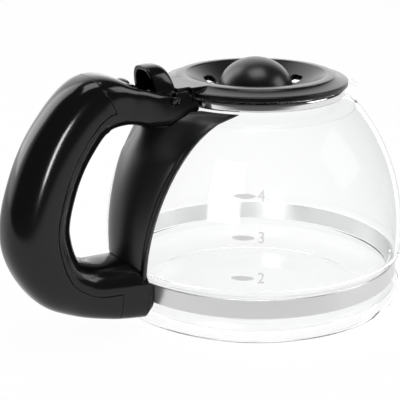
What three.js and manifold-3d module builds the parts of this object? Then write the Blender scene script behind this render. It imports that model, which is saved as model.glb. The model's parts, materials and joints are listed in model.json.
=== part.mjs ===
// Coffee carafe: stands on z = 0, handle towards -X, spout towards +X, millimetres
import * as THREE from 'three';
import { mergeVertices } from 'three/addons/utils/BufferGeometryUtils.js';
import Module from 'manifold-3d';

const wasm = await Module();
wasm.setup();

// Driving dimensions: glass bowl
const GLASS_RADIUS = 62;
const GLASS_WALL = 2;
const GLASS_FLOOR = 3;
const BELLY_Z = 28;
const HEEL_RADIUS = 8;
const HEEL_Z = 6.5;
const HEEL_TURN = 0.62;
const GROOVE_DEPTH = 3;
const SHOULDER_Z = 82.6;
const SHOULDER_STEP = 6.3;
const NECK_RADIUS = 35.2;
const NECK_RISE = 3;
const NECK_FILLET = 1.6;
const RIM_LIP = 1.1;
const RIM_FLARE = 0.4;
const BASE_RING_DEPTH = 0.5;
const BASE_RING_SHARE = 0.62;
const BASE_RING_SLOPE = 2;
const BASE_RING_EDGE = 5;
const FLOOR_FILLET = 0.8;

// Driving dimensions: spout
const SPOUT_REACH = 16.5;
const SPOUT_DROP = 6;
const SPOUT_DROP_START_SHARE = 0.4;
const SPOUT_DROP_END_SHARE = 1.05;
const SPOUT_HALF_ANGLE = 0.4;
const SPOUT_FLAT_SHARE = 0.25;
const SPOUT_WALL_SHARE = 0.8;

// Driving dimensions: steel bands
const BAND_Z = 11.7;
const BAND_HEIGHT = 7.8;
const BAND_THICKNESS = 0.8;
const NECK_BAND_RISE = 3.4;
const NECK_BAND_HEIGHT = 2.2;
const NECK_BAND_THICKNESS = 1;
const NECK_BAND_CROWN_SHARE = 0.5;
const CROWN_SHARE = 0.3;
const LUG_GAP = 1.4;
const LUG_LENGTH = 9;
const LUG_SCREW_SHARE = 0.6;
const NECK_LUG_LENGTH = 4.2;
const NECK_LUG_DROP = 1;
const NECK_LUG_STEP = 1.3;
const NECK_SCREW_SHARE = 0.55;
const SCREW_RADIUS = 1.5;
const SCREW_HEAD_RADIUS = 2.8;
const SCREW_HEAD_HEIGHT = 1.8;
const SCREW_RECESS = 1.5;
const SCREW_TIP = 1;
const NUT_WIDTH = 5.5;
const NUT_THICKNESS = 2.4;
const NECK_SCREW_RADIUS = 0.8;
const NECK_HEAD_RADIUS = 1.6;
const NECK_HEAD_HEIGHT = 1;
const NECK_NUT_WIDTH = 3.2;
const NECK_NUT_THICKNESS = 1.6;

// Driving dimensions: handle
const HANDLE_STANDOFF = 52.6;
const GRIP_DEPTH = 25.6;
const GRIP_WIDTH = 23;
const GRIP_Z = 43.5;
const ARM_DROP = 2.9;
const ARM_HEIGHT = 14.2;
const ARM_WIDTH = 19.6;
const ARM_ROOT = 4;
const SHOULDER_RISE = 4.4;
const SHOULDER_BACK = 25.2;
const FOOT_Z = 17;
const FOOT_HEIGHT = 25;
const FOOT_WIDTH = 28.4;
const FOOT_ROOT = 4;
const COVER_WALL = 2.6;
const COVER_LIP = 5.5;
const COVER_FOOT_LIP = 11.5;
const COVER_LIP_START_SHARE = 0.55;
const COVER_LIP_END_SHARE = 0.95;
const COVER_TOP_BACK = 26;
const COVER_LEAN = 4.5;
const COVER_FOOT_CLEAR = 3.5;
const COVER_OVERLAP_SHARE = 0.02;
const COLLAR_WIDTH = 26.4;
const COLLAR_DROP = 1.4;
const COLLAR_LENGTH = 13;
const COLLAR_POWER = 3;
const COLLAR_FLARE_SHARE = 0.55;
const COLLAR_EDGE_SHARE = 0.15;
const STOP_RADIUS = 2.6;
const STOP_LENGTH_SHARE = 1.3;
const STOP_BREADTH_SHARE = 1.6;
const STOP_SHARE = 0.75;

// Sections along the handle loop, as shares of the way along, of the way up and of the girth
const ARM_ROOT_PLACE = { along: 0.2, up: 0.18, girth: 0 };
const ARM_END_PLACE = { along: 0.56, up: 0.84, girth: 0.1 };
const SHOULDER_GIRTH_SHARE = 0.8;
const UPPER_GRIP_PLACE = { along: 0.52, up: 0.76, girth: 0.88 };
const GRIP_TOP_PLACE = { along: 0.17, up: 0.42, girth: 0.94 };
const BEND_PLACE = { along: 0.3, up: 0.38, girth: 0.2 };
const LIMB_PLACE = { along: 0.6, up: 0.14, depth: 0.93, width: 1.04 };
const HEEL_PLACE = { along: 0.3, up: 0.03, depth: 0.93 };
const FOOT_DIP = 0.5;

// Squareness of the loop's section and where along it the arm and grip lie
const ARM_SECTION_POWER = 5;
const GRIP_SECTION_POWER = 2.4;
const GRIP_SHARE = 0.55;
const GRIP_SOFT_SHARE = 0.2;
const GRIP_HARD_SHARE = 0.42;
const ARM_SHARE = 0.3;

// Driving dimensions: spine guard
const SPINE_FOOT_WIDTH = 25;
const SPINE_TOP_WIDTH = 45;
const SPINE_FLARE = 5;
const SPINE_FLARE_POWER = 12;
const SPINE_FOOT_Z = 20.5;
const SPINE_CROWN = 4;
const SPINE_TOP_CROWN = 8.5;
const SPINE_CROWN_POWER = 1.5;
const SPINE_ARCH_POWER = 0.8;
const SPINE_FLANGE = 2.4;
const SPINE_FLANGE_THICKNESS = 1.5;
const SPINE_BED_SHARE = 0.35;
const SPINE_LIP_SHARE = 0.7;

// Driving dimensions: hinge and lid
const HINGE_CLEAR = 8.1;
const HINGE_RISE = 0.9;
const PIN_RADIUS = 1.5;
const NOTCH_MOUTH_SHARE = 0.8;
const KNUCKLE_RADIUS = 3.2;
const SLOT_WIDTH = 16.6;
const TONGUE_WIDTH = 15.6;
const TONGUE_STEP = 0.2;
const LID_OVERHANG = 2.3;
const LID_LIP_THICKNESS = 2.6;
const LID_SLOPE = 5.1;
const LID_ANNULUS = 4.1;
const LID_FLOOR_RADIUS = 17.4;
const LID_RISE = 5.2;
const LID_DEPTH = 7.7;
const LID_WALL = 1.8;
const LID_SKIRT_DEPTH = 3.6;
const LID_EDGE = 0.3;
const LID_CHAMFER = 0.9;
const LID_HOLE_RADIUS = 2.6;
const LID_HOLE_LENGTH = 3.6;
const LID_HOLE_TURN = 2.06;
const LID_HOLE_SHARE = 0.42;
const DOME_RADIUS = 15.4;
const DOME_HEIGHT = 13.6;
const DOME_WALL = 1.6;
const DOME_STEM_RADIUS = 5;
const DOME_BARB = 0.8;
const DOME_BARB_HEIGHT = 1.4;

// Driving dimensions: thumb lever
const LEVER_RISE = 13.2;
const LEVER_TAIL = 9;
const LEVER_NOSE = 6.4;
const LEVER_CREST = 6.4;
const LEVER_ARCH_POWER = 2.3;
const LEVER_SLANT = 2.2;
const LEVER_DROOP = 0.4;
const LEVER_NOSE_SHARE = 0.2;
const LEVER_SKIRT_RISE = 3.4;
const LEVER_WIDTH = 16;
const LEVER_WALL = 1.5;
const LEVER_SIDE_POWER = 5;
const LEVER_TOP_POWER = 4;

// Clearances
const GAP = 0.3;
const CUT = 1;
const LID_SWING_GAP = 2.5;
const LEVER_SWING_GAP = 0.5;
const LID_SWING_ANGLE = 1.4;

// Facets
const ROUND = 40;
const SMALL_ROUND = 14;
const DOME_ROUND = 28;
const HANDLE_STEPS = 24;
const SECTION_POINTS = 20;
const COVER_STEPS = 14;
const SPINE_STEPS = 8;
const SPINE_LEVELS = 11;
const SPOUT_STEPS = 5;
const COLLAR_STEPS = 7;
const HOOD_STEPS = 8;
const HOOD_POINTS = 12;
const SEARCH_STEPS = 200;

// Finishes
const glassFinish = { color: 0xf2f6f6, roughness: 0.03, metalness: 0, transparent: true, opacity: 0.35 };
const satinSteel = { color: 0xc9cac8, roughness: 0.35, metalness: 1 };
const polishedSteel = { color: 0xd9dad9, roughness: 0.12, metalness: 1 };
const blackPlastic = { color: 0x141414, roughness: 0.35, metalness: 0 };
const zincSteel = { color: 0x9a9c9e, roughness: 0.4, metalness: 1 };

// Heights and places that follow from the driving dimensions
const groove = GLASS_RADIUS - GROOVE_DEPTH;
const bandTop = BAND_Z + BAND_HEIGHT;
const shoulderRadius = NECK_RADIUS + SHOULDER_STEP;
const domeRise = (SHOULDER_Z - BELLY_Z) / Math.sqrt(1 - (shoulderRadius / GLASS_RADIUS) ** 2);
const neckZ = SHOULDER_Z + NECK_RISE;
const neckFootZ = neckZ - NECK_FILLET / 2;
const neckBandZ = SHOULDER_Z + NECK_BAND_RISE;
const neckBandTop = neckBandZ + NECK_BAND_HEIGHT;
const rimZ = neckBandTop + RIM_LIP;
const bandInner = groove + GAP;
const bandOuter = bandInner + BAND_THICKNESS;
const neckBandInner = NECK_RADIUS + GAP;
const neckBandOuter = neckBandInner + NECK_BAND_THICKNESS;
const bandMidZ = BAND_Z + BAND_HEIGHT / 2;
const neckLugLow = neckBandZ - NECK_LUG_DROP;
const neckLugMidZ = (neckLugLow + neckBandTop) / 2;
const bandScrewBack = bandOuter + LUG_LENGTH * LUG_SCREW_SHARE;
const neckScrewBack = neckBandOuter + NECK_LUG_LENGTH * NECK_SCREW_SHARE;
const handleReach = GLASS_RADIUS + HANDLE_STANDOFF;
const gripBack = handleReach - GRIP_DEPTH / 2;
const coverFootBack = bandScrewBack + SCREW_HEAD_RADIUS + COVER_FOOT_CLEAR;
const armZ = rimZ - ARM_DROP;
const spineTopZ = neckBandZ - 2 * GAP;
const lidLipRadius = NECK_RADIUS + LID_OVERHANG;
const lidRimRadius = lidLipRadius - LID_SLOPE;
const lidBowlRadius = lidRimRadius - LID_ANNULUS;
const hingeBack = lidLipRadius + HINGE_CLEAR;
const hingeZ = rimZ + HINGE_RISE;
const lidTopZ = rimZ + LID_RISE;
const lidFloorZ = lidTopZ - LID_DEPTH;
const tongueTop = lidTopZ - TONGUE_STEP;
const leverTopZ = hingeZ + LEVER_RISE;
const leverBack = hingeBack + LEVER_TAIL;
const leverFront = hingeBack - LEVER_NOSE;
const leverHalf = LEVER_WIDTH / 2;
const lidRoom = lidLipRadius + LID_SWING_GAP;

// Solids from closed geometry
function weld(geometry) {
  const bare = geometry.clone();
  bare.deleteAttribute('normal');
  bare.deleteAttribute('uv');
  const merged = mergeVertices(bare, 1e-4);
  const index = merged.index.array;
  const kept = [];
  for (let i = 0; i < index.length; i += 3) {
    const [a, b, c] = [index[i], index[i + 1], index[i + 2]];
    if (a !== b && b !== c && c !== a) kept.push(a, b, c);
  }
  merged.setIndex(kept);
  return merged;
}

function signedVolume(positions, triangles) {
  const corner = (i) => new THREE.Vector3().fromArray(positions, 3 * triangles[i]);
  let volume = 0;
  for (let i = 0; i < triangles.length; i += 3) {
    volume += corner(i).dot(corner(i + 1).cross(corner(i + 2))) / 6;
  }
  return volume;
}

function solid(geometry) {
  const welded = weld(geometry);
  const vertProperties = Float32Array.from(welded.attributes.position.array);
  const triVerts = Uint32Array.from(welded.index.array);
  if (signedVolume(vertProperties, triVerts) < 0) {
    for (let i = 0; i < triVerts.length; i += 3) {
      [triVerts[i], triVerts[i + 1]] = [triVerts[i + 1], triVerts[i]];
    }
  }
  return new wasm.Manifold(new wasm.Mesh({ numProp: 3, vertProperties, triVerts }));
}

function toGeometry(body) {
  const mesh = body.getMesh();
  const geometry = new THREE.BufferGeometry();
  geometry.setAttribute('position', new THREE.BufferAttribute(Float32Array.from(mesh.vertProperties), 3));
  geometry.setIndex(new THREE.BufferAttribute(Uint32Array.from(mesh.triVerts), 1));
  geometry.computeVertexNormals();
  return geometry;
}

// Shape helpers
const point = (r, z) => new THREE.Vector2(r, z);
const lerp = THREE.MathUtils.lerp;
const smoothstep = THREE.MathUtils.smoothstep;

function revolve(profile, segments = ROUND) {
  return new THREE.LatheGeometry(profile, segments).rotateX(Math.PI / 2);
}

function block(x0, x1, y0, y1, z0, z1) {
  const box = new THREE.BoxGeometry(x1 - x0, y1 - y0, z1 - z0);
  return box.translate((x0 + x1) / 2, (y0 + y1) / 2, (z0 + z1) / 2);
}

// A cylinder along Y, centred on a place back from the axis and up from the table
function crossRod(radius, back, z, y0, y1, segments = SMALL_ROUND) {
  const rod = new THREE.CylinderGeometry(radius, radius, y1 - y0, segments);
  return rod.translate(-back, (y0 + y1) / 2, z);
}

// A plate cut from an outline in the handle plane, through the given width along Y
function plate(shape, y0, y1, curveSegments = SMALL_ROUND) {
  const geometry = new THREE.ExtrudeGeometry(shape, { depth: y1 - y0, bevelEnabled: false, curveSegments });
  return geometry.rotateX(Math.PI / 2).translate(0, y1, 0);
}

// A skin through equal rings of points, closed at both ends
function loft(rings) {
  const count = rings[0].length;
  const positions = [];
  const index = [];
  for (const loop of rings) {
    for (const p of loop) positions.push(p.x, p.y, p.z);
  }
  const at = (i, j) => i * count + (j % count);
  for (let i = 0; i + 1 < rings.length; i++) {
    for (let j = 0; j < count; j++) {
      index.push(at(i, j), at(i, j + 1), at(i + 1, j + 1));
      index.push(at(i, j), at(i + 1, j + 1), at(i + 1, j));
    }
  }
  for (const end of [0, rings.length - 1]) {
    const flat = rings[end].map((p) => capPoint(p, rings[end]));
    for (const [a, b, c] of THREE.ShapeUtils.triangulateShape(flat, [])) {
      const corners = [at(end, a), at(end, b), at(end, c)];
      const inward = (end === 0) === THREE.ShapeUtils.area(flat) > 0;
      index.push(...(inward ? corners.reverse() : corners));
    }
  }
  const geometry = new THREE.BufferGeometry();
  geometry.setAttribute('position', new THREE.Float32BufferAttribute(positions, 3));
  geometry.setIndex(index);
  return geometry;
}

// A ring's point in the plane of the ring
function capPoint(p, loop) {
  const normal = new THREE.Vector3();
  loop.forEach((q, i) => normal.add(new THREE.Vector3().crossVectors(q, loop[(i + 1) % loop.length])));
  normal.normalize();
  const across = new THREE.Vector3().subVectors(loop[1], loop[0]).normalize();
  const up = new THREE.Vector3().crossVectors(normal, across);
  const local = new THREE.Vector3().subVectors(p, loop[0]);
  return new THREE.Vector2(local.dot(across), local.dot(up));
}

// Power of a sine or cosine that keeps its sign, for rounded rectangles
function squared(value, power) {
  return Math.sign(value) * Math.abs(value) ** (2 / power);
}

// Glass: outline of the bowl
function domeRadius(z, inset = 0) {
  const share = (z - BELLY_Z) / (domeRise - inset);
  return (GLASS_RADIUS - inset) * Math.sqrt(1 - share * share);
}

// Radius of the outer glass with the band in its groove
function outsideRadius(z) {
  if (z < bandTop + GAP) return bandOuter;
  if (z < SHOULDER_Z) return domeRadius(z);
  const climb = (z - SHOULDER_Z) / (neckFootZ - SHOULDER_Z);
  const filletRadius = NECK_RADIUS + NECK_FILLET;
  if (climb < 1) return lerp(shoulderRadius, filletRadius, climb);
  return lerp(filletRadius, NECK_RADIUS, Math.min(1, (z - neckFootZ) / NECK_FILLET));
}

function heelArc(steps) {
  const arc = [];
  for (let i = 0; i <= steps; i++) {
    const angle = lerp(-Math.PI / 2, HEEL_TURN, i / steps);
    const radius = GLASS_RADIUS - HEEL_RADIUS + HEEL_RADIUS * Math.cos(angle);
    arc.push(point(radius, HEEL_Z + HEEL_Z * Math.sin(angle)));
  }
  return arc;
}

function domeArc(inset, fromZ, toZ, steps) {
  const arc = [];
  for (let i = 0; i <= steps; i++) {
    const z = lerp(fromZ, toZ, Math.sin((i / steps) * Math.PI / 2));
    arc.push(point(domeRadius(z, inset), z));
  }
  return arc;
}

function rimRows(radius) {
  const rows = [];
  const rimEdge = rimZ - GLASS_WALL / 8;
  for (let i = 0; i <= SPOUT_STEPS; i++) {
    const share = i / SPOUT_STEPS;
    const z = lerp(neckBandTop + GAP, rimEdge, share);
    rows.push({ at: point(radius + RIM_FLARE * share, z), pull: share });
  }
  return rows;
}

// Base: a foot ring, a shallow hollow inside it and a flat middle
function footOutline() {
  const flat = GLASS_RADIUS - HEEL_RADIUS;
  const ringAt = flat * BASE_RING_SHARE;
  const edge = flat - BASE_RING_EDGE;
  return [
    point(0, 0), point(ringAt, 0), point(ringAt + BASE_RING_SLOPE, BASE_RING_DEPTH),
    point(edge - BASE_RING_SLOPE, BASE_RING_DEPTH), point(edge, 0),
  ];
}

function glassProfile() {
  const still = (p) => ({ at: p, pull: 0 });
  const flat = GLASS_RADIUS - HEEL_RADIUS;
  const deep = groove - GLASS_WALL;
  const outer = [
    ...footOutline(), ...heelArc(6),
    point(groove, BAND_Z - GAP), point(groove, bandTop + GAP),
    ...domeArc(0, bandTop + 4 * GAP, SHOULDER_Z, 10),
    point(NECK_RADIUS + NECK_FILLET, neckFootZ), point(NECK_RADIUS, neckFootZ + NECK_FILLET / 2),
  ].map(still);
  const inner = [
    point(NECK_RADIUS - GLASS_WALL, neckZ - GAP), point(NECK_RADIUS - GAP, SHOULDER_Z + GAP),
    ...domeArc(GLASS_WALL, bandTop + GLASS_WALL, SHOULDER_Z - GLASS_WALL, 8).reverse(),
    point(deep, bandTop - GAP), point(deep, BAND_Z + 2 * GAP),
    point(GLASS_RADIUS - 2 * GLASS_WALL - GAP, BAND_Z - GLASS_WALL),
    point(GLASS_RADIUS - 3 * GLASS_WALL, HEEL_Z - 2 * GAP),
    point(flat + FLOOR_FILLET, GLASS_FLOOR + FLOOR_FILLET), point(flat - BASE_RING_EDGE, GLASS_FLOOR),
    point(0, GLASS_FLOOR),
  ].map(still);
  const lifted = (row) => ({ ...row, lift: SPOUT_WALL_SHARE });
  const inside = rimRows(NECK_RADIUS - GLASS_WALL).reverse().map(lifted);
  const crest = {
    at: point(NECK_RADIUS + RIM_FLARE - GLASS_WALL / 2, rimZ), pull: 1, lift: SPOUT_WALL_SHARE / 2,
  };
  return [...outer, ...rimRows(NECK_RADIUS), crest, ...inside, ...inner];
}

// How far round the mouth the spout is pulled, from 1 in front to 0 at its sides
function spoutShare(angle) {
  const share = (SPOUT_HALF_ANGLE - Math.abs(angle)) / (SPOUT_HALF_ANGLE * (1 - SPOUT_FLAT_SHARE));
  return smoothstep(share, 0, 1);
}

// Turns that fall close together across the spout and evenly round the rest of the bowl
function glassTurns() {
  const side = Math.PI - SPOUT_HALF_ANGLE;
  const wide = ROUND - 2 * SPOUT_STEPS;
  const turns = [];
  for (let i = 0; i < 2 * SPOUT_STEPS; i++) {
    turns.push(lerp(-SPOUT_HALF_ANGLE, SPOUT_HALF_ANGLE, i / (2 * SPOUT_STEPS)));
  }
  for (let i = 0; i < wide; i++) turns.push(SPOUT_HALF_ANGLE + 2 * side * (i / wide));
  return [...turns, turns[0] + 2 * Math.PI];
}

function makeGlass() {
  const profile = glassProfile();
  const turns = glassTurns();
  const geometry = revolve(profile.map((row) => row.at));
  const position = geometry.attributes.position;
  for (let i = 0; i < position.count; i++) {
    const row = profile[i % profile.length];
    const turn = turns[Math.floor(i / profile.length)];
    const angle = Math.atan2(Math.sin(turn), Math.cos(turn));
    const pull = spoutShare(angle) * row.pull;
    const radius = row.at.x + SPOUT_REACH * pull;
    const drop = SPOUT_DROP * smoothstep(pull, SPOUT_DROP_START_SHARE, SPOUT_DROP_END_SHARE);
    const z = row.at.y + (row.lift ?? 0) * GLASS_WALL * pull - drop;
    position.setXYZ(i, radius * Math.cos(angle), radius * Math.sin(angle), z);
  }
  return solid(geometry);
}

// Steel bands: open rings whose ends turn out into the handle
function makeBand(inner, thickness, low, height, lugLength, crown = 0, drop = 0, step = 0) {
  const outer = inner + thickness;
  const edge = thickness * (1 - crown);
  const loop = [
    point(inner, low), point(inner + edge, low), point(outer, low + height * CROWN_SHARE),
    point(outer, low + height * (1 - CROWN_SHARE)), point(inner + edge, low + height),
    point(inner, low + height), point(inner, low),
  ];
  const split = block(-outer - CUT, 0, -LUG_GAP / 2, LUG_GAP / 2, low - CUT, low + height + CUT);
  const strap = solid(revolve(loop)).subtract(solid(split));
  const lug = (side) => {
    const y0 = side * LUG_GAP / 2;
    const y1 = y0 + side * thickness;
    const [near, far] = [Math.min(y0, y1), Math.max(y0, y1)];
    const tab = solid(block(-outer - lugLength, -inner, near, far, low, low + height));
    return tab.add(solid(block(-outer - lugLength, -outer - step, near, far, low - drop, low + height)));
  };
  return strap.add(lug(1)).add(lug(-1));
}

function makeBaseBand() {
  const bore = solid(crossRod(SCREW_RADIUS + GAP, bandScrewBack, bandMidZ, -ARM_WIDTH, ARM_WIDTH));
  return makeBand(bandInner, BAND_THICKNESS, BAND_Z, BAND_HEIGHT, LUG_LENGTH).subtract(bore);
}

function makeNeckBand() {
  const reach = NECK_SCREW_RADIUS + GAP / 2;
  const bore = solid(crossRod(reach, neckScrewBack, neckLugMidZ, -ARM_WIDTH, ARM_WIDTH));
  const band = makeBand(
    neckBandInner, NECK_BAND_THICKNESS, neckBandZ, NECK_BAND_HEIGHT, NECK_LUG_LENGTH, NECK_BAND_CROWN_SHARE,
    NECK_LUG_DROP, NECK_LUG_STEP,
  );
  return band.subtract(bore);
}

// Clamp screws lie along Y, with their heads on the far side and a square nut on the near side
const bandNutY = -LUG_GAP / 2 - BAND_THICKNESS - GAP;
const neckNutY = -LUG_GAP / 2 - NECK_BAND_THICKNESS - GAP;
const bandHeadY = FOOT_WIDTH / 2 - SCREW_HEAD_HEIGHT - SCREW_RECESS;
const neckHeadY = ARM_WIDTH / 2 - NECK_HEAD_HEIGHT - GAP;

const baseClamp = {
  radius: SCREW_RADIUS, headRadius: SCREW_HEAD_RADIUS, headHeight: SCREW_HEAD_HEIGHT,
  back: bandScrewBack, z: bandMidZ, headY: bandHeadY, openY: FOOT_WIDTH,
  tipY: bandNutY - NUT_THICKNESS - SCREW_TIP, slot: LUG_GAP + 2 * BAND_THICKNESS,
  lugBack: bandOuter + LUG_LENGTH, inner: bandInner - GLASS_WALL, low: BAND_Z, high: bandTop,
  nutWidth: NUT_WIDTH, nutThickness: NUT_THICKNESS, nutY: bandNutY,
};
const neckClamp = {
  radius: NECK_SCREW_RADIUS, headRadius: NECK_HEAD_RADIUS, headHeight: NECK_HEAD_HEIGHT,
  back: neckScrewBack, z: neckLugMidZ, headY: neckHeadY, openY: ARM_WIDTH,
  tipY: neckNutY - NECK_NUT_THICKNESS - SCREW_TIP, slot: LUG_GAP + 2 * NECK_BAND_THICKNESS,
  lugBack: neckBandOuter + NECK_LUG_LENGTH, inner: neckBandInner - GLASS_WALL,
  low: neckLugLow, high: neckBandTop,
  nutWidth: NECK_NUT_WIDTH, nutThickness: NECK_NUT_THICKNESS, nutY: neckNutY,
};

function makeScrew(clamp) {
  const { radius, headRadius, headHeight, back, z, headY, tipY } = clamp;
  const shank = solid(crossRod(radius, back, z, tipY, headY + headHeight / 2));
  const head = solid(crossRod(headRadius, back, z, headY, headY + headHeight));
  const slotLow = headY + headHeight / 2;
  const drive = block(
    -back - headRadius, -back + headRadius, slotLow, slotLow + headHeight, z - radius / 4, z + radius / 4,
  );
  return shank.add(head).subtract(solid(drive));
}

function makeNut(clamp) {
  const { nutWidth, nutThickness, nutY, radius, back, z } = clamp;
  const half = nutWidth / 2;
  const square = solid(block(-back - half, -back + half, nutY - nutThickness, nutY, z - half, z + half));
  return square.subtract(solid(crossRod(radius + GAP / 2, back, z, nutY - nutThickness - CUT, nutY + CUT)));
}

// Slot, bore, head recess and nut pocket of a clamp screw
function clampRoom(clamp) {
  const { radius, headRadius, back, z, headY, openY, tipY, inner } = clamp;
  const bore = solid(crossRod(radius + GAP, back, z, tipY - GAP, openY));
  const recess = solid(crossRod(headRadius + GAP, back, z, headY - GAP, openY));
  const halfSlot = clamp.slot / 2 + GAP;
  const slot = block(-clamp.lugBack - GAP, -inner, -halfSlot, halfSlot, clamp.low - GAP, clamp.high + GAP);
  const half = clamp.nutWidth / 2 + GAP;
  const pocket = block(
    -back - half, -inner, clamp.nutY - clamp.nutThickness - GAP, 0, z - half, z + half,
  );
  return bore.add(recess).add(solid(slot)).add(solid(pocket));
}

// Handle: stations along the middle of the loop, from the neck round the grip to the foot
function handleStations() {
  const arm = { depth: ARM_HEIGHT, width: ARM_WIDTH };
  const grip = { depth: GRIP_DEPTH, width: GRIP_WIDTH };
  const foot = { depth: FOOT_HEIGHT, width: FOOT_WIDTH };
  const mix = (a, b, share) => ({
    depth: lerp(a.depth, b.depth, share), width: lerp(a.width, b.width, share),
  });
  const shoulderZ = armZ + SHOULDER_RISE;
  const shoulderBack = gripBack - SHOULDER_BACK;
  const upper = (share) => lerp(GRIP_Z, shoulderZ, share);
  const lower = (share) => lerp(FOOT_Z, GRIP_Z, share);
  const inward = (share) => gripBack - share * SHOULDER_BACK;
  const limb = (share) => lerp(bandOuter, gripBack, share);
  const bend = gripBack - BEND_PLACE.along * (GRIP_Z - FOOT_Z);
  const slim = { depth: FOOT_HEIGHT * LIMB_PLACE.depth, width: GRIP_WIDTH * LIMB_PLACE.width };
  const heel = { depth: FOOT_HEIGHT * HEEL_PLACE.depth, width: (GRIP_WIDTH + FOOT_WIDTH) / 2 };
  const armAt = ({ along, up, girth: share }) => ({
    back: lerp(hingeBack, shoulderBack, along), z: armZ + up * SHOULDER_RISE, ...mix(arm, grip, share),
  });
  const gripAt = ({ along, up, girth: share }) => ({
    back: inward(along), z: upper(up), ...mix(arm, grip, share),
  });
  return [
    { back: NECK_RADIUS - ARM_ROOT, z: armZ, ...arm },
    armAt(ARM_ROOT_PLACE),
    armAt(ARM_END_PLACE),
    { back: shoulderBack, z: shoulderZ, ...mix(arm, grip, SHOULDER_GIRTH_SHARE) },
    gripAt(UPPER_GRIP_PLACE),
    gripAt(GRIP_TOP_PLACE),
    { back: gripBack, z: GRIP_Z, ...grip },
    { back: bend, z: lower(BEND_PLACE.up), ...mix(grip, foot, BEND_PLACE.girth) },
    { back: limb(LIMB_PLACE.along), z: lower(LIMB_PLACE.up), ...slim },
    { back: limb(HEEL_PLACE.along), z: lower(HEEL_PLACE.up), ...heel },
    { back: bandOuter - FOOT_ROOT, z: FOOT_Z - FOOT_DIP, ...foot },
  ];
}

const stations = handleStations();
const middle = new THREE.CatmullRomCurve3(stations.map((s) => new THREE.Vector3(-s.back, 0, s.z)));
const halves = stations.map((s) => new THREE.Vector3(s.depth / 2, s.width / 2, 0));
const girth = new THREE.CatmullRomCurve3(halves);

// The outward normal of the loop in the handle plane
function loopNormal(u) {
  const along = middle.getTangent(u);
  return new THREE.Vector3(along.z, 0, -along.x);
}

function handleRing(u, inset) {
  const centre = middle.getPoint(u);
  const half = girth.getPoint(u);
  const outward = loopNormal(u);
  const armShare = smoothstep(Math.abs(u - GRIP_SHARE), GRIP_SOFT_SHARE, GRIP_HARD_SHARE);
  const outerPower = lerp(GRIP_SECTION_POWER, ARM_SECTION_POWER, armShare);
  const innerPower = u > GRIP_SHARE ? GRIP_SECTION_POWER : outerPower;
  const loop = [];
  for (let i = 0; i < SECTION_POINTS; i++) {
    const angle = (i / SECTION_POINTS) * 2 * Math.PI;
    const power = Math.cos(angle) > 0 ? outerPower : innerPower;
    const out = (half.x - inset) * squared(Math.cos(angle), power);
    const side = (half.y - inset) * squared(Math.sin(angle), power);
    loop.push(centre.clone().addScaledVector(outward, out).setY(side));
  }
  return loop;
}

function handleLoft(inset, fromU = 0, toU = 1) {
  const shares = [fromU];
  for (let i = 1; i < HANDLE_STEPS; i++) {
    const u = i / HANDLE_STEPS;
    if (u > fromU && u < toU) shares.push(u);
  }
  shares.push(toU);
  return solid(loft(shares.map((u) => handleRing(u, inset))));
}

// Where along the loop the grip cover starts and ends
function loopShareAt(back, upper) {
  let best = upper ? 0 : 1;
  for (let i = 0; i <= SEARCH_STEPS; i++) {
    const u = i / SEARCH_STEPS;
    const p = middle.getPoint(u);
    if (upper !== p.z > GRIP_Z) continue;
    if (Math.abs(-p.x - back) < Math.abs(-middle.getPoint(best).x - back)) best = u;
  }
  return best;
}

const coverStart = loopShareAt(gripBack - COVER_TOP_BACK, true);
const coverEnd = loopShareAt(coverFootBack, false);

// The outer part of the loop, which the grip cover takes up
function coverRegion(inset) {
  const inward = [];
  const outward = [];
  for (let i = 0; i <= COVER_STEPS; i++) {
    const share = i / COVER_STEPS;
    const u = lerp(coverStart, coverEnd, share);
    const normal = loopNormal(u);
    const depth = girth.getPoint(u).x;
    const end = share === 0 ? inset : (share === 1 ? -inset : 0);
    const centre = middle.getPoint(u).addScaledVector(middle.getTangent(u), end);
    const turn = smoothstep(share, COVER_LIP_START_SHARE, COVER_LIP_END_SHARE);
    const lip = lerp(COVER_LIP, COVER_FOOT_LIP, turn);
    const seam = middle.getTangent(u).multiplyScalar(share === 0 ? COVER_LEAN : 0);
    const near = centre.clone().addScaledVector(normal, lip + inset - depth).sub(seam);
    const far = centre.clone().addScaledVector(normal, depth * 2).addScaledVector(seam, 2);
    inward.push(new THREE.Vector2(near.x, near.z));
    outward.unshift(new THREE.Vector2(far.x, far.z));
  }
  return solid(plate(new THREE.Shape([...inward, ...outward]), -GRIP_WIDTH, GRIP_WIDTH));
}

// Room that the glass, the bands and the lid take out of the handle
function bowlRoom() {
  const fit = bandOuter + GAP;
  const neck = neckBandOuter + GAP;
  const outline = [
    point(0, 0), ...heelArc(6).map((p) => point(p.x + GAP, p.y)), point(fit, BAND_Z), point(fit, bandTop),
    ...domeArc(-GAP, bandTop + 3 * GAP, SHOULDER_Z, 10),
    point(neck, neckBandZ - GAP), point(neck, rimZ - GAP), point(lidRoom, rimZ), point(lidRoom, leverTopZ),
    point(0, leverTopZ),
  ];
  return solid(revolve(outline));
}

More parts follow.
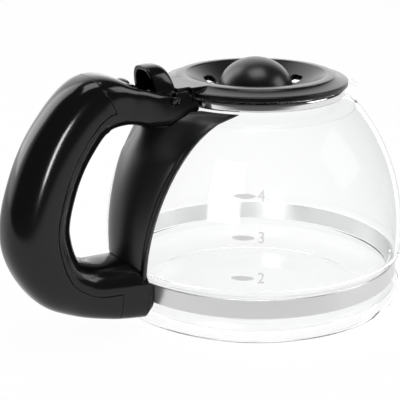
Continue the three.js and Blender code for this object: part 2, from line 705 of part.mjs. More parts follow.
// Collar under the neck band, flared from the arm's sides and curved up to the neck in front
function collar(grow, reach) {
  const top = rimZ - GAP;
  const waist = neckBandZ - COLLAR_DROP;
  const depth = waist - armZ + ARM_HEIGHT / 2 - GAP;
  const armHalf = ARM_WIDTH / 2 - GAP;
  const root = lidRoom + COLLAR_LENGTH;
  const rings = [];
  for (let i = 0; i <= COLLAR_STEPS; i++) {
    const share = i / COLLAR_STEPS;
    const back = i === 0 ? root + reach : lerp(root, NECK_RADIUS, share);
    const half = lerp(armHalf, COLLAR_WIDTH / 2, smoothstep(share, 0, COLLAR_FLARE_SHARE)) + grow;
    const lift = Math.max(0, (hingeBack - back) / (hingeBack - NECK_RADIUS));
    const sag = depth * Math.max(COLLAR_EDGE_SHARE, Math.sqrt(Math.max(0, 1 - lift * lift))) + grow;
    const loop = [new THREE.Vector3(-back, -armHalf, top)];
    for (let j = 0; j <= SMALL_ROUND; j++) {
      const angle = Math.PI * (1 + j / SMALL_ROUND);
      const across = half * squared(Math.cos(angle), COLLAR_POWER);
      loop.push(new THREE.Vector3(-back, across, waist + sag * squared(Math.sin(angle), COLLAR_POWER)));
    }
    loop.push(new THREE.Vector3(-back, armHalf, top));
    rings.push(loop);
  }
  return solid(loft(rings));
}

// Circle that the lever sweeps, and how far its back edges dip below the pin with the lid open
const leverSweep = Math.hypot(LEVER_TAIL, LEVER_RISE) + LEVER_SWING_GAP;
const dipOf = (back, rise) => -Math.hypot(back, rise) * Math.sin(Math.atan2(rise, -back) + LID_SWING_ANGLE);
const mouthDip = dipOf(LEVER_TAIL - LEVER_SLANT, LEVER_SKIRT_RISE);
const crownDip = dipOf(LEVER_TAIL, LEVER_RISE);
const leverDip = Math.max(mouthDip, crownDip) + LEVER_SWING_GAP;

// Slot between the hinge cheeks that the tongue and the lever turn in
function hingeRoom() {
  const half = SLOT_WIDTH / 2;
  const ledge = hingeZ - 2 * GAP;
  const room = new THREE.Shape();
  room.moveTo(-hingeBack, hingeZ - leverDip);
  room.lineTo(-hingeBack, ledge);
  room.lineTo(-hingeBack + leverSweep, ledge);
  room.absarc(-hingeBack, hingeZ, leverSweep, 0, Math.PI + Math.asin(leverDip / leverSweep), false);
  const clear = solid(crossRod(KNUCKLE_RADIUS + 2 * GAP, hingeBack, hingeZ, -half, half));
  return solid(plate(room, -half, half)).add(clear);
}

// Notches that the hinge pin snaps into from above
function pinNotch() {
  const seat = solid(crossRod(PIN_RADIUS + GAP, hingeBack, hingeZ, -ARM_WIDTH, ARM_WIDTH));
  const half = PIN_RADIUS * NOTCH_MOUTH_SHARE;
  const mouth = block(-hingeBack - half, -hingeBack + half, -ARM_WIDTH, ARM_WIDTH, hingeZ, leverTopZ);
  return seat.add(solid(mouth));
}

// Spine guard: a crowned strip along the glass, with a raised lip at each edge
function spineRing(z, grow) {
  const share = (z - SPINE_FOOT_Z) / (spineTopZ - SPINE_FOOT_Z);
  const climb = Math.max(0, share);
  const outside = outsideRadius(z);
  const flare = SPINE_FLARE * climb ** SPINE_FLARE_POWER;
  const half = lerp(SPINE_FOOT_WIDTH, SPINE_TOP_WIDTH, share) / 2 + flare + grow;
  const inner = outside + 2 * GAP - grow;
  const lip = outside + 2 * GAP + SPINE_FLANGE_THICKNESS + grow;
  const base = lip - SPINE_FLANGE_THICKNESS * SPINE_BED_SHARE;
  const crown = lerp(SPINE_CROWN, SPINE_TOP_CROWN, climb ** SPINE_CROWN_POWER);
  const place = (radius, turn) => new THREE.Vector3(-radius * Math.cos(turn), radius * Math.sin(turn), z);
  const edge = half / outside;
  const bed = (half - SPINE_FLANGE) / outside;
  const ridge = lerp(edge, bed, SPINE_LIP_SHARE);
  const loop = [];
  for (let i = 0; i <= SPINE_STEPS; i++) loop.push(place(inner, lerp(-edge, edge, i / SPINE_STEPS)));
  loop.push(place(lip, edge), place(lip, ridge), place(base, bed));
  for (let i = 1; i < SPINE_STEPS; i++) {
    const turn = lerp(bed, -bed, i / SPINE_STEPS);
    const arch = Math.cos((turn / bed) * Math.PI / 2) ** SPINE_ARCH_POWER;
    loop.push(place(base + crown * arch, turn));
  }
  loop.push(place(base, -bed), place(lip, -ridge), place(lip, -edge));
  return loop;
}

function spineLoft(grow) {
  const levels = [];
  for (let i = 0; i <= SPINE_LEVELS; i++) {
    levels.push(lerp(SPINE_FOOT_Z - grow, SHOULDER_Z, i / SPINE_LEVELS));
  }
  levels.push(neckFootZ, spineTopZ);
  return solid(loft(levels.map((z) => spineRing(z, grow))));
}

// The guard stops under the arm, and its two wings pass the collar up to the neck
function makeSpine() {
  return spineLoft(0).subtract(handleLoft(-GAP, 0, ARM_SHARE)).subtract(collar(GAP, SPINE_TOP_CROWN));
}

// The part of the guard that stands in the foot
function spineFoot() {
  return spineLoft(GAP).intersect(solid(block(-handleReach, 0, -handleReach, handleReach, 0, GRIP_Z)));
}

// Rounded stop behind the lever
function makeStop() {
  const back = hingeBack + leverSweep + STOP_RADIUS / 2;
  const z = armZ + ARM_HEIGHT / 2 + SHOULDER_RISE * STOP_SHARE;
  const bump = new THREE.SphereGeometry(STOP_RADIUS, SMALL_ROUND, SMALL_ROUND / 2);
  return solid(bump.scale(STOP_LENGTH_SHARE, STOP_BREADTH_SHARE, 1).translate(-back, 0, z));
}

// Handle frame: arm with hinge cheeks and collar, core of the grip, and foot
function makeFrame() {
  const over = COVER_OVERLAP_SHARE;
  const core = handleLoft(COVER_WALL + GAP, coverStart - over, coverEnd + over);
  return handleLoft(0).subtract(coverRegion(-GAP)).add(core).add(makeStop()).add(collar(0, 0))
    .subtract(bowlRoom())
    .subtract(spineFoot())
    .subtract(hingeRoom())
    .subtract(pinNotch())
    .subtract(clampRoom(baseClamp))
    .subtract(clampRoom(neckClamp));
}

function makeCover() {
  const over = 3 * COVER_OVERLAP_SHARE;
  const core = handleLoft(COVER_WALL, coverStart - over, coverEnd + over);
  return handleLoft(0).intersect(coverRegion(0)).subtract(core);
}

// Lid: rim, recessed bowl with three openings, skirt in the neck, tongue and knuckle
const lipLow = rimZ + GAP;
const lipHigh = lipLow + LID_LIP_THICKNESS;
const skirtOuter = NECK_RADIUS - GLASS_WALL - GAP;
const skirtInner = skirtOuter - LID_WALL;

function lidProfile() {
  const floorLow = lidFloorZ - LID_WALL;
  const skirtLow = lipLow - LID_SKIRT_DEPTH;
  const under = lidTopZ - LID_WALL;
  const stem = DOME_STEM_RADIUS + GAP;
  const chamfer = new THREE.QuadraticBezierCurve(
    point(lidLipRadius - LID_EDGE, lipHigh),
    point(lidRimRadius + LID_CHAMFER, lipHigh + LID_CHAMFER),
    point(lidRimRadius, lidTopZ - LID_EDGE),
  ).getPoints(4);
  return [
    point(stem, floorLow), point(LID_FLOOR_RADIUS + 2 * LID_EDGE, floorLow),
    point(lidBowlRadius + LID_CHAMFER, under), point(skirtInner, under),
    point(skirtInner, skirtLow + LID_EDGE), point(skirtInner + LID_EDGE, skirtLow),
    point(skirtOuter - LID_EDGE, skirtLow), point(skirtOuter, skirtLow + LID_EDGE),
    point(skirtOuter, lipLow), point(lidLipRadius - LID_EDGE, lipLow),
    point(lidLipRadius, lipLow + LID_EDGE), point(lidLipRadius, lipHigh - LID_EDGE),
    ...chamfer, point(lidRimRadius - LID_EDGE, lidTopZ), point(lidBowlRadius + LID_EDGE, lidTopZ),
    point(lidBowlRadius, lidTopZ - LID_EDGE), point(LID_FLOOR_RADIUS, lidFloorZ + LID_EDGE),
    point(LID_FLOOR_RADIUS - 2 * LID_EDGE, lidFloorZ), point(stem, lidFloorZ), point(stem, floorLow),
  ];
}

function lidOpening(turn) {
  const middleRadius = lerp(DOME_RADIUS, lidBowlRadius, LID_HOLE_SHARE);
  const half = LID_HOLE_LENGTH / 2;
  const shape = new THREE.Shape();
  shape.absarc(0, half, LID_HOLE_RADIUS, 0, Math.PI, false);
  shape.absarc(0, -half, LID_HOLE_RADIUS, Math.PI, 2 * Math.PI, false);
  const height = LID_DEPTH + 2 * LID_WALL;
  const options = { depth: height, bevelEnabled: false, curveSegments: SMALL_ROUND / 2 };
  const geometry = new THREE.ExtrudeGeometry(shape, options);
  return solid(geometry.translate(middleRadius, 0, lidFloorZ - 2 * LID_WALL).rotateZ(turn));
}

const tongueNarrow = leverHalf - LEVER_WALL - GAP;

function makeLid() {
  const half = TONGUE_WIDTH / 2;
  const root = lidRimRadius - LID_WALL;
  const wide = block(-leverFront + GAP, -root, -half, half, lipLow + GAP, tongueTop);
  const narrow = block(-hingeBack, -root, -tongueNarrow, tongueNarrow, lipLow + GAP, tongueTop);
  const knuckle = crossRod(KNUCKLE_RADIUS, hingeBack, hingeZ, -tongueNarrow, tongueNarrow);
  const bore = crossRod(PIN_RADIUS + GAP, hingeBack, hingeZ, -half, half);
  let body = solid(revolve(lidProfile())).add(solid(wide)).add(solid(narrow)).add(solid(knuckle));
  for (const turn of [0, LID_HOLE_TURN, -LID_HOLE_TURN]) body = body.subtract(lidOpening(turn));
  return body.subtract(solid(bore));
}

// Dome that opens the drip valve of a coffee maker, with a barbed stem through the lid's floor
function makeDome() {
  const rest = lidFloorZ + GAP;
  const dome = (radius, height, steps) => {
    const arc = [];
    for (let i = 0; i <= steps; i++) {
      const angle = (i / steps) * Math.PI / 2;
      arc.push(point(radius * Math.cos(angle), rest + height * Math.sin(angle)));
    }
    return arc;
  };
  const low = lidFloorZ - LID_WALL - GAP;
  const tip = low - DOME_BARB_HEIGHT;
  const barb = DOME_STEM_RADIUS + DOME_BARB;
  const stemInner = DOME_STEM_RADIUS - DOME_WALL;
  const hollow = DOME_RADIUS - DOME_WALL;
  const inHeight = DOME_HEIGHT - DOME_WALL;
  const stemTop = rest + inHeight * Math.sqrt(1 - (DOME_STEM_RADIUS / hollow) ** 2);
  const inside = dome(hollow, inHeight, 6).filter((p) => p.x > DOME_STEM_RADIUS + GAP);
  return solid(revolve([
    ...dome(DOME_RADIUS, DOME_HEIGHT, 7), point(0, stemTop),
    point(stemInner, stemTop), point(stemInner, tip), point(DOME_STEM_RADIUS, tip),
    point(barb, low - GAP), point(barb, low), point(DOME_STEM_RADIUS, low),
    point(DOME_STEM_RADIUS, stemTop), ...inside.reverse(), point(DOME_RADIUS, rest),
  ], DOME_ROUND));
}

// Thumb lever: a hollow hood over the hinge, open towards the handle
function hoodRing(back, rise, half, low) {
  const loop = [new THREE.Vector3(-back, -half, low)];
  for (let i = 0; i <= HOOD_POINTS; i++) {
    const angle = Math.PI * (1 - i / HOOD_POINTS);
    const across = half * squared(Math.cos(angle), LEVER_SIDE_POWER);
    loop.push(new THREE.Vector3(-back, across, hingeZ + rise * squared(Math.sin(angle), LEVER_TOP_POWER)));
  }
  loop.push(new THREE.Vector3(-back, half, low));
  return loop;
}

function hood(inset, fromBack, toBack) {
  const crest = hingeBack + LEVER_CREST;
  const rings = [];
  for (let i = 0; i <= HOOD_STEPS; i++) {
    const turn = (i / HOOD_STEPS) * Math.PI / 2;
    const back = lerp(fromBack, toBack, 1 - Math.cos(turn));
    const fall = Math.max(0, (crest - back) / (crest - leverFront));
    const droop = Math.max(0, (back - crest) / (leverBack - crest));
    const curve = Math.max(0, 1 - fall ** LEVER_ARCH_POWER) ** (1 / LEVER_ARCH_POWER);
    const arch = Math.max(LEVER_NOSE_SHARE, curve);
    const rise = LEVER_RISE * arch - LEVER_DROOP * droop * droop - inset;
    rings.push(hoodRing(back, rise, leverHalf - inset, hingeZ - inset - GAP / 10));
  }
  return solid(loft(rings));
}

// The hood's mouth leans back, so its lower edge lies in front of its crown
function mouthCut() {
  const skirtZ = hingeZ + LEVER_SKIRT_RISE;
  const lean = new THREE.Shape([
    point(-leverBack, leverTopZ + CUT), point(-leverBack + LEVER_SLANT, skirtZ),
    point(-hingeBack - KNUCKLE_RADIUS, skirtZ), point(-hingeBack - KNUCKLE_RADIUS, hingeZ - KNUCKLE_RADIUS),
    point(-leverBack - CUT, hingeZ - KNUCKLE_RADIUS), point(-leverBack - CUT, leverTopZ + CUT),
  ]);
  return solid(plate(lean, -LEVER_WIDTH, LEVER_WIDTH));
}

function makeLever() {
  const hollow = hood(LEVER_WALL, leverFront + 2 * LEVER_WALL, leverBack + CUT);
  const ear = crossRod(KNUCKLE_RADIUS, hingeBack, hingeZ, -leverHalf, leverHalf);
  const inside = leverHalf - LEVER_WALL;
  const tongue = block(
    -leverBack - CUT, -leverFront + CUT, -inside, inside, hingeZ - KNUCKLE_RADIUS - CUT, tongueTop + GAP,
  );
  const bore = crossRod(PIN_RADIUS + GAP, hingeBack, hingeZ, -LEVER_WIDTH, LEVER_WIDTH);
  return hood(0, leverFront, leverBack).subtract(hollow).add(solid(ear))
    .subtract(solid(tongue))
    .subtract(mouthCut())
    .subtract(solid(bore));
}

// Assembly
const carafe = new THREE.Group();

function addPiece(name, body, finish) {
  const mesh = new THREE.Mesh(toGeometry(body), new THREE.MeshStandardMaterial(finish));
  mesh.name = name;
  carafe.add(mesh);
}

const pin = crossRod(PIN_RADIUS, hingeBack, hingeZ, -ARM_WIDTH / 2, ARM_WIDTH / 2);

addPiece('glass_body', makeGlass(), glassFinish);
addPiece('base_band', makeBaseBand(), satinSteel);
addPiece('base_band_screw', makeScrew(baseClamp), zincSteel);
addPiece('base_band_nut', makeNut(baseClamp), zincSteel);
addPiece('neck_band', makeNeckBand(), polishedSteel);
addPiece('neck_band_screw', makeScrew(neckClamp), zincSteel);
addPiece('neck_band_nut', makeNut(neckClamp), zincSteel);
addPiece('handle_frame', makeFrame(), blackPlastic);
addPiece('grip_cover', makeCover(), blackPlastic);
addPiece('spine_guard', makeSpine(), blackPlastic);
addPiece('hinge_pin', solid(pin), zincSteel);
addPiece('lid', makeLid(), blackPlastic);
addPiece('lid_dome', makeDome(), blackPlastic);
addPiece('thumb_lever', makeLever(), blackPlastic);

export default carafe;
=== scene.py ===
"""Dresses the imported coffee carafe: glass bowl, steel bands, black handle and hinged lid.

All lengths in the classes are millimetres in the part's own frame: the glass axis is Z, the
handle points towards -X and the pouring lip towards +X. Meshes are scaled to metres when made.
"""

from __future__ import annotations

import json
import logging
import math
from collections.abc import Callable
from dataclasses import dataclass, field
from enum import Enum

import bpy
import numpy as np
from mathutils import Matrix, Vector

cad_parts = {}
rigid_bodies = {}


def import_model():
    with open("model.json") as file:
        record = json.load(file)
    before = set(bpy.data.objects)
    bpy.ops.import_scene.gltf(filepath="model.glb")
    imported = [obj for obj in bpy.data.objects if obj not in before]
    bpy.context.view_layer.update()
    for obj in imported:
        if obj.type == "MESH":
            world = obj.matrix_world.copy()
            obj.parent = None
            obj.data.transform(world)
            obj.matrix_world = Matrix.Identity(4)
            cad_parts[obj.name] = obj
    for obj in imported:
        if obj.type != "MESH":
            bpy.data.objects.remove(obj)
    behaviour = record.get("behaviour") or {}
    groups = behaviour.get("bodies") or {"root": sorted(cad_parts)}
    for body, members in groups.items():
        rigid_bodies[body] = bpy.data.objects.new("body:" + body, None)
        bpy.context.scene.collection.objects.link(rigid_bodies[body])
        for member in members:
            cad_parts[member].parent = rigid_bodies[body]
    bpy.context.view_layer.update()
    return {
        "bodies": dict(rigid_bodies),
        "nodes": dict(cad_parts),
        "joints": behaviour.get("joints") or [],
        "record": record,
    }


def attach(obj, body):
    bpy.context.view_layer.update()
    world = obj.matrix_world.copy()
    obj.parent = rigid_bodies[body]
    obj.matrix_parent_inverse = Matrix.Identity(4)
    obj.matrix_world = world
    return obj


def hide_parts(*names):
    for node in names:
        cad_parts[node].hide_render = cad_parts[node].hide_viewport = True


LOG = logging.getLogger("carafe")
MM = 0.001
TINY = 1e-6
MET = 1e-4
QUARTER = math.pi / 2
Ring = np.ndarray
Pair = tuple[float, float]
Triple = tuple[float, float, float]
Profile = list[Pair]
Piece = bpy.types.Object
Socket = bpy.types.NodeSocket
Inputs = dict[str | int, object]


class Body(Enum):
    """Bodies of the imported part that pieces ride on."""

    JUG = "jug"
    LID = "lid_flap"


class Cut(Enum):
    """Ways to join two closed meshes."""

    TAKE = "DIFFERENCE"
    JOIN = "UNION"
    KEEP = "INTERSECT"


def lerp(a: float, b: float, share: float) -> float:
    """Returns the value a share of the way from a to b."""
    return a + (b - a) * share


def smoothstep(value: float, low: float, high: float) -> float:
    """Returns 0 below low, 1 above high and a smooth climb between."""
    share = min(1.0, max(0.0, (value - low) / (high - low)))
    return share * share * (3.0 - 2.0 * share)


def signed_power(value: np.ndarray, power: float | np.ndarray) -> np.ndarray:
    """Returns sine or cosine values bent towards a rounded rectangle of that squareness."""
    return np.sign(value) * np.abs(value) ** (2.0 / power)


def full_turn(count: int) -> np.ndarray:
    """Returns equal steps of a full turn."""
    return np.linspace(0.0, 2.0 * math.pi, count, endpoint=False)


def knot(a: np.ndarray, b: np.ndarray, spare: float | np.ndarray) -> np.ndarray:
    """Returns the centripetal step between points, or the spare one where they meet."""
    step = np.sum((b - a) ** 2, 1) ** 0.25
    return np.where(step < MET, spare, step)


def catmull(points: np.ndarray, share: np.ndarray) -> np.ndarray:
    """Evaluates a centripetal Catmull-Rom curve through points.

    Args:
        points: The control points, one row each.
        share: Places along the curve from 0 to 1.

    Returns:
        One point for each place.
    """
    along = np.clip(np.atleast_1d(share), 0.0, 1.0) * (len(points) - 1)
    start = np.minimum(along.astype(int), len(points) - 2)
    w = (along - start)[:, None]
    padded = np.vstack([2 * points[0] - points[1], points, 2 * points[-1] - points[-2]])
    p0, p1, p2, p3 = (padded[start + k] for k in range(4))
    d1 = knot(p1, p2, 1.0)
    d0, d1, d2 = (d[:, None] for d in (knot(p0, p1, d1), d1, knot(p2, p3, d1)))
    t1 = ((p1 - p0) / d0 - (p2 - p0) / (d0 + d1) + (p2 - p1) / d1) * d1
    t2 = ((p2 - p1) / d1 - (p3 - p1) / (d1 + d2) + (p3 - p2) / d2) * d1
    c2 = -3 * p1 + 3 * p2 - 2 * t1 - t2
    c3 = 2 * p1 - 2 * p2 + t1 + t2
    return p1 + t1 * w + c2 * w**2 + c3 * w**3


def make_object(name: str, verts: np.ndarray, faces: list[tuple[int, ...]]) -> Piece:
    """Makes a mesh object in metres from millimetre points and links it to the scene."""
    mesh = bpy.data.meshes.new(name)
    mesh.from_pydata((np.asarray(verts) * MM).tolist(), [], faces)
    mesh.validate()
    piece = bpy.data.objects.new(name, mesh)
    bpy.context.scene.collection.objects.link(piece)
    return piece


def face_out(piece: Piece) -> Piece:
    """Turns a closed mesh's faces outwards where its volume is negative, and returns it."""
    mesh = piece.data
    mesh.calc_loop_triangles()
    volume = 0.0
    for tri in mesh.loop_triangles:
        a, b, c = (mesh.vertices[i].co for i in tri.vertices)
        volume += a.dot(b.cross(c))
    if volume < 0:
        mesh.flip_normals()
    return piece


def lathe(name: str, profile: Profile, segments: int, close: bool) -> Piece:
    """Turns a profile round the Z axis.

    Args:
        name: The object's name.
        profile: Radius and height pairs, from the bottom up on the outside.
        segments: How many steps go round.
        close: Whether the last point joins the first, as on a ring.

    Returns:
        The turned object, with its faces pointing out.
    """
    turn = full_turn(segments)
    rows: list[list[int]] = []
    verts: list[np.ndarray] = []
    count = 0
    for radius, height in profile:
        pole = radius < TINY
        circle = np.stack([radius * np.cos(turn), radius * np.sin(turn), np.full(segments, height)], 1)
        verts.append(np.array([[0.0, 0.0, height]]) if pole else circle)
        rows.append([count] * segments if pole else list(range(count, count + segments)))
        count += len(verts[-1])
    faces: list[tuple[int, ...]] = []
    for low, high in zip(rows, rows[1:] + rows[:1] * close):
        for j in range(segments):
            k = (j + 1) % segments
            face = tuple(dict.fromkeys((low[j], low[k], high[k], high[j])))
            if len(face) > 2:
                faces.append(face)
    return face_out(make_object(name, np.vstack(verts), faces))


def loft(name: str, rings: list[Ring]) -> Piece:
    """Skins equal rings of points and closes both ends.

    Args:
        name: The object's name.
        rings: The rings, each with the same number of points.

    Returns:
        The closed object, with its faces pointing out.
    """
    count = len(rings[0])
    last = (len(rings) - 1) * count
    faces: list[tuple[int, ...]] = []
    for low in range(0, last, count):
        for j in range(count):
            k = (j + 1) % count
            faces.append((low + j, low + k, low + count + k, low + count + j))
    faces += [tuple(range(count))[::-1], tuple(range(last, last + count))]
    return face_out(make_object(name, np.vstack(rings), faces))


def prism(name: str, outline: np.ndarray, y0: float, y1: float) -> Piece:
    """Extrudes an outline of the XZ plane along Y, from y0 to y1."""
    ends = [np.stack([outline[:, 0], np.full(len(outline), y), outline[:, 1]], 1) for y in (y0, y1)]
    return loft(name, ends)


def block(name: str, low: Triple, high: Triple) -> Piece:
    """Makes a box between two corners, as a tool for cuts and joins."""
    outline = np.array([(low[0], low[2]), (high[0], low[2]), (high[0], high[2]), (low[0], high[2])])
    return prism(name, outline, low[1], high[1])


def carve(target: Piece, tool: Piece, kind: Cut) -> Piece:
    """Joins a closed mesh with another and deletes the tool.

    Args:
        target: The mesh that stays.
        tool: The mesh that cuts, joins or limits it.
        kind: Which of the three is done.

    Returns:
        The target, with its new mesh.
    """
    step = target.modifiers.new("carve", "BOOLEAN")
    step.operation = kind.value
    step.solver = "MANIFOLD"
    step.object = tool
    graph = bpy.context.evaluated_depsgraph_get()
    mesh = bpy.data.meshes.new_from_object(target.evaluated_get(graph))
    target.modifiers.clear()
    old, target.data = target.data, mesh
    bpy.data.meshes.remove(old)
    bpy.data.objects.remove(tool)
    return target


def smooth(piece: Piece, degrees: float) -> None:
    """Shades a mesh smooth and keeps edges over an angle sharp."""
    mesh = piece.data
    mesh.polygons.foreach_set("use_smooth", [True] * len(mesh.polygons))
    mesh.set_sharp_from_angle(angle=math.radians(degrees))


def place(piece: Piece, body: Body, slot: str, finish: Finish, *nodes: str) -> None:
    """Dresses a finished piece and sets it on its body.

    Args:
        piece: The finished mesh.
        body: The body that it rides on.
        slot: The record's material slot, which is not used.
        finish: The finish that it wears.
        nodes: CAD nodes that the piece stands for.
    """
    finish.wear(piece)
    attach(piece, body.value)
    if nodes:
        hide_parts(*nodes)
    LOG.info("%s rides %s and stands for %s", piece.name, body.value, ", ".join(nodes) or "nothing")


class Shader:
    """A material or group under construction, with short calls for nodes and their inputs."""

    def __init__(self, tree: bpy.types.NodeTree) -> None:
        """Keeps the tree that nodes go into."""
        self.tree = tree

    def feed(self, node: bpy.types.Node, inputs: Inputs) -> None:
        """Links a node's inputs to sockets and sets the others to constants."""
        for key, value in inputs.items():
            if isinstance(value, Socket):
                self.tree.links.new(value, node.inputs[key])
            else:
                node.inputs[key].default_value = value

    def node(self, kind: str, inputs: Inputs | None = None, **values: object) -> bpy.types.Node:
        """Adds a node, sets its properties and feeds its inputs."""
        made = self.tree.nodes.new(kind)
        for key, value in values.items():
            setattr(made, key, value)
        self.feed(made, inputs or {})
        return made

    def math(self, operation: str, *inputs: Socket | float, clamp: bool = False) -> Socket:
        """Adds a sum and returns its result."""
        sums = dict(enumerate(inputs))
        return self.node("ShaderNodeMath", sums, operation=operation, use_clamp=clamp).outputs[0]

    def noise(self, **inputs: Socket | float) -> Socket:
        """Adds a noise texture and returns its value."""
        return self.node("ShaderNodeTexNoise", inputs).outputs["Fac"]

    def spread(self, noise: Socket, width: Socket, middle: Socket) -> Socket:
        """Returns noise centred on a middle value."""
        return self.math("MULTIPLY_ADD", self.math("SUBTRACT", noise, 0.5), width, middle)

    def group(self, tree: bpy.types.NodeTree, **inputs: float) -> bpy.types.bpy_prop_collection:
        """Adds a shared effect and returns its outputs."""
        return self.node("ShaderNodeGroup", inputs, node_tree=tree).outputs

    def mix(self, factor: Socket, low: Socket | float, high: Socket | float) -> Socket:
        """Adds a mix of two values and returns it."""
        return self.node("ShaderNodeMix", {0: factor, 2: low, 3: high}).outputs[0]

    def tint(self, factor: Socket, low: Triple, high: Triple, clamp: bool = True) -> Socket:
        """Adds a mix of two colours and returns it."""
        ends = {0: factor, 6: (*low, 1.0), 7: (*high, 1.0)}
        return self.node("ShaderNodeMix", ends, data_type="RGBA", clamp_factor=clamp).outputs[2]

    def bump(self, strength: float, distance: float, **inputs: Socket) -> Socket:
        """Adds a bump and returns its normal."""
        made = self.node("ShaderNodeBump", {"Strength": strength, "Distance": distance, **inputs})
        return made.outputs["Normal"]

    def ramp(self, spot: Socket, way: Triple, span: Pair, levels: Pair) -> Socket:
        """Returns a level that climbs along a fixed direction.

        Args:
            spot: The place or direction that is measured.
            way: The fixed direction.
            span: How far along it the climb starts and ends.
            levels: The levels before and after the climb.

        Returns:
            The level.
        """
        along = self.node("ShaderNodeVectorMath", {0: spot, 1: way}, operation="DOT_PRODUCT")
        ends = zip(("From Min", "From Max", "To Min", "To Max"), (*span, *levels))
        inputs = {"Value": along.outputs["Value"], **dict(ends)}
        return self.node("ShaderNodeMapRange", inputs, interpolation_type="SMOOTHSTEP").outputs["Result"]


class Effects:
    """Shader node groups that several finishes share, each made once."""

    @staticmethod
    def _group(name: str, inputs: dict[str, float], outputs: dict[str, str]) -> tuple[Shader, object, object]:
        """Starts a group with named float inputs and typed outputs.

        Args:
            name: The group's name.
            inputs: Input names and their default values.
            outputs: Output names and the ends of their socket types.

        Returns:
            The tree, the group input's sockets and the group's output node.
        """
        tree = bpy.data.node_groups.new(name, "ShaderNodeTree")
        for key, value in inputs.items():
            made = tree.interface.new_socket(key, in_out="INPUT", socket_type="NodeSocketFloat")
            made.default_value = value
        for key, kind in outputs.items():
            tree.interface.new_socket(key, in_out="OUTPUT", socket_type=f"NodeSocket{kind}")
        build = Shader(tree)
        return build, build.node("NodeGroupInput").outputs, build.node("NodeGroupOutput")

    @classmethod
    def moulded_grain(cls) -> bpy.types.NodeTree:
        """Returns fine moulding grain and slow gloss changes, as a roughness and a height."""
        found = bpy.data.node_groups.get("moulded_grain")
        if found:
            return found
        build, into, out = cls._group("moulded_grain", {"Roughness": 0.3, "Variation": 0.04, "Scale": 900.0},
                                      {"Roughness": "Float", "Height": "Float"})
        spot = build.node("ShaderNodeTexCoord").outputs["Object"]
        slow = build.noise(Vector=spot, Scale=35.0)
        build.feed(out, {"Roughness": build.spread(slow, into["Variation"], into["Roughness"]),
                         "Height": build.noise(Vector=spot, Scale=into["Scale"], Detail=3.0)})
        return build.tree

    @classmethod
    def edge_wear(cls) -> bpy.types.NodeTree:
        """Returns a mask of worn edges and a normal that rounds them."""
        found = bpy.data.node_groups.get("edge_wear")
        if found:
            return found
        build, into, out = cls._group("edge_wear", {"Radius": 0.0006, "Amount": 0.5},
                                      {"Mask": "Float", "Normal": "Vector"})
        rounded = build.node("ShaderNodeBevel", {"Radius": into["Radius"]}, samples=6).outputs["Normal"]
        face = build.node("ShaderNodeNewGeometry").outputs["Normal"]
        turn = build.node("ShaderNodeVectorMath", {0: rounded, 1: face}, operation="DOT_PRODUCT")
        away = build.math("SUBTRACT", 1.0, turn.outputs["Value"])
        scuffs = build.math("MULTIPLY", away, build.noise(Scale=260.0))
        mask = build.math("MULTIPLY", scuffs, into["Amount"], clamp=True)
        build.feed(out, {"Mask": mask, "Normal": rounded})
        return build.tree

    @classmethod
    def brushed(cls) -> bpy.types.NodeTree:
        """Returns brushing that runs round the Z axis, as a roughness, a tint and a height."""
        found = bpy.data.node_groups.get("brushed")
        if found:
            return found
        build, into, out = cls._group("brushed", {"Roughness": 0.3, "Spread": 0.1, "Density": 2600.0},
                                      {"Roughness": "Float", "Tint": "Float", "Height": "Float"})
        spot = build.node("ShaderNodeTexCoord").outputs["Object"]
        split = build.node("ShaderNodeSeparateXYZ", {0: spot}).outputs
        turn = build.math("MULTIPLY", build.math("ARCTAN2", split["Y"], split["X"]), 0.002)
        joined = build.node("ShaderNodeCombineXYZ", {"X": turn, "Z": split["Z"]}).outputs[0]
        lines = build.noise(Vector=joined, Scale=into["Density"], Detail=4.0)
        build.feed(out, {"Roughness": build.spread(lines, into["Spread"], into["Roughness"]),
                         "Tint": lines, "Height": lines})
        return build.tree


@dataclass(frozen=True)
class Finish:
    """A finish with a material of its own."""

    name: str
    colour: Triple

    def _shade(self, share: float) -> Triple:
        """Returns the colour made lighter or darker, at most white."""
        return tuple(min(1.0, share * c) for c in self.colour)

    def _inputs(self, build: Shader) -> Inputs:
        """Returns what the Principled BSDF's inputs are linked or set to."""
        raise NotImplementedError

    def material(self) -> bpy.types.Material:
        """Returns the material, made once."""
        found = bpy.data.materials.get(self.name)
        if found:
            return found
        made = bpy.data.materials.new(self.name)
        made.use_nodes = True
        build = Shader(made.node_tree)
        build.feed(made.node_tree.nodes["Principled BSDF"], self._inputs(build))
        return made

    def wear(self, piece: Piece) -> None:
        """Makes this the only material of a piece."""
        piece.data.materials.clear()
        piece.data.materials.append(self.material())


@dataclass(frozen=True)
class Plastic(Finish):
    """Moulded black plastic, paler on worn edges."""

    roughness: float
    variation: float
    grain_height: float
    specular: float
    grain_strength: float = 0.25
    edge_radius: float = 0.0006
    worn: float = 4.0

    def _inputs(self, build: Shader) -> Inputs:
        """Returns a worn tint, an uneven gloss and a grained normal with rounded edges."""
        grain = build.group(Effects.moulded_grain(), Roughness=self.roughness, Variation=self.variation)
        edges = build.group(Effects.edge_wear(), Radius=self.edge_radius)
        return {
            "Specular IOR Level": self.specular,
            "Base Color": build.tint(edges["Mask"], self.colour, self._shade(self.worn)),
            "Roughness": grain["Roughness"],
            "Normal": build.bump(self.grain_strength, self.grain_height, Height=grain["Height"],
                                 Normal=edges["Normal"]),
        }


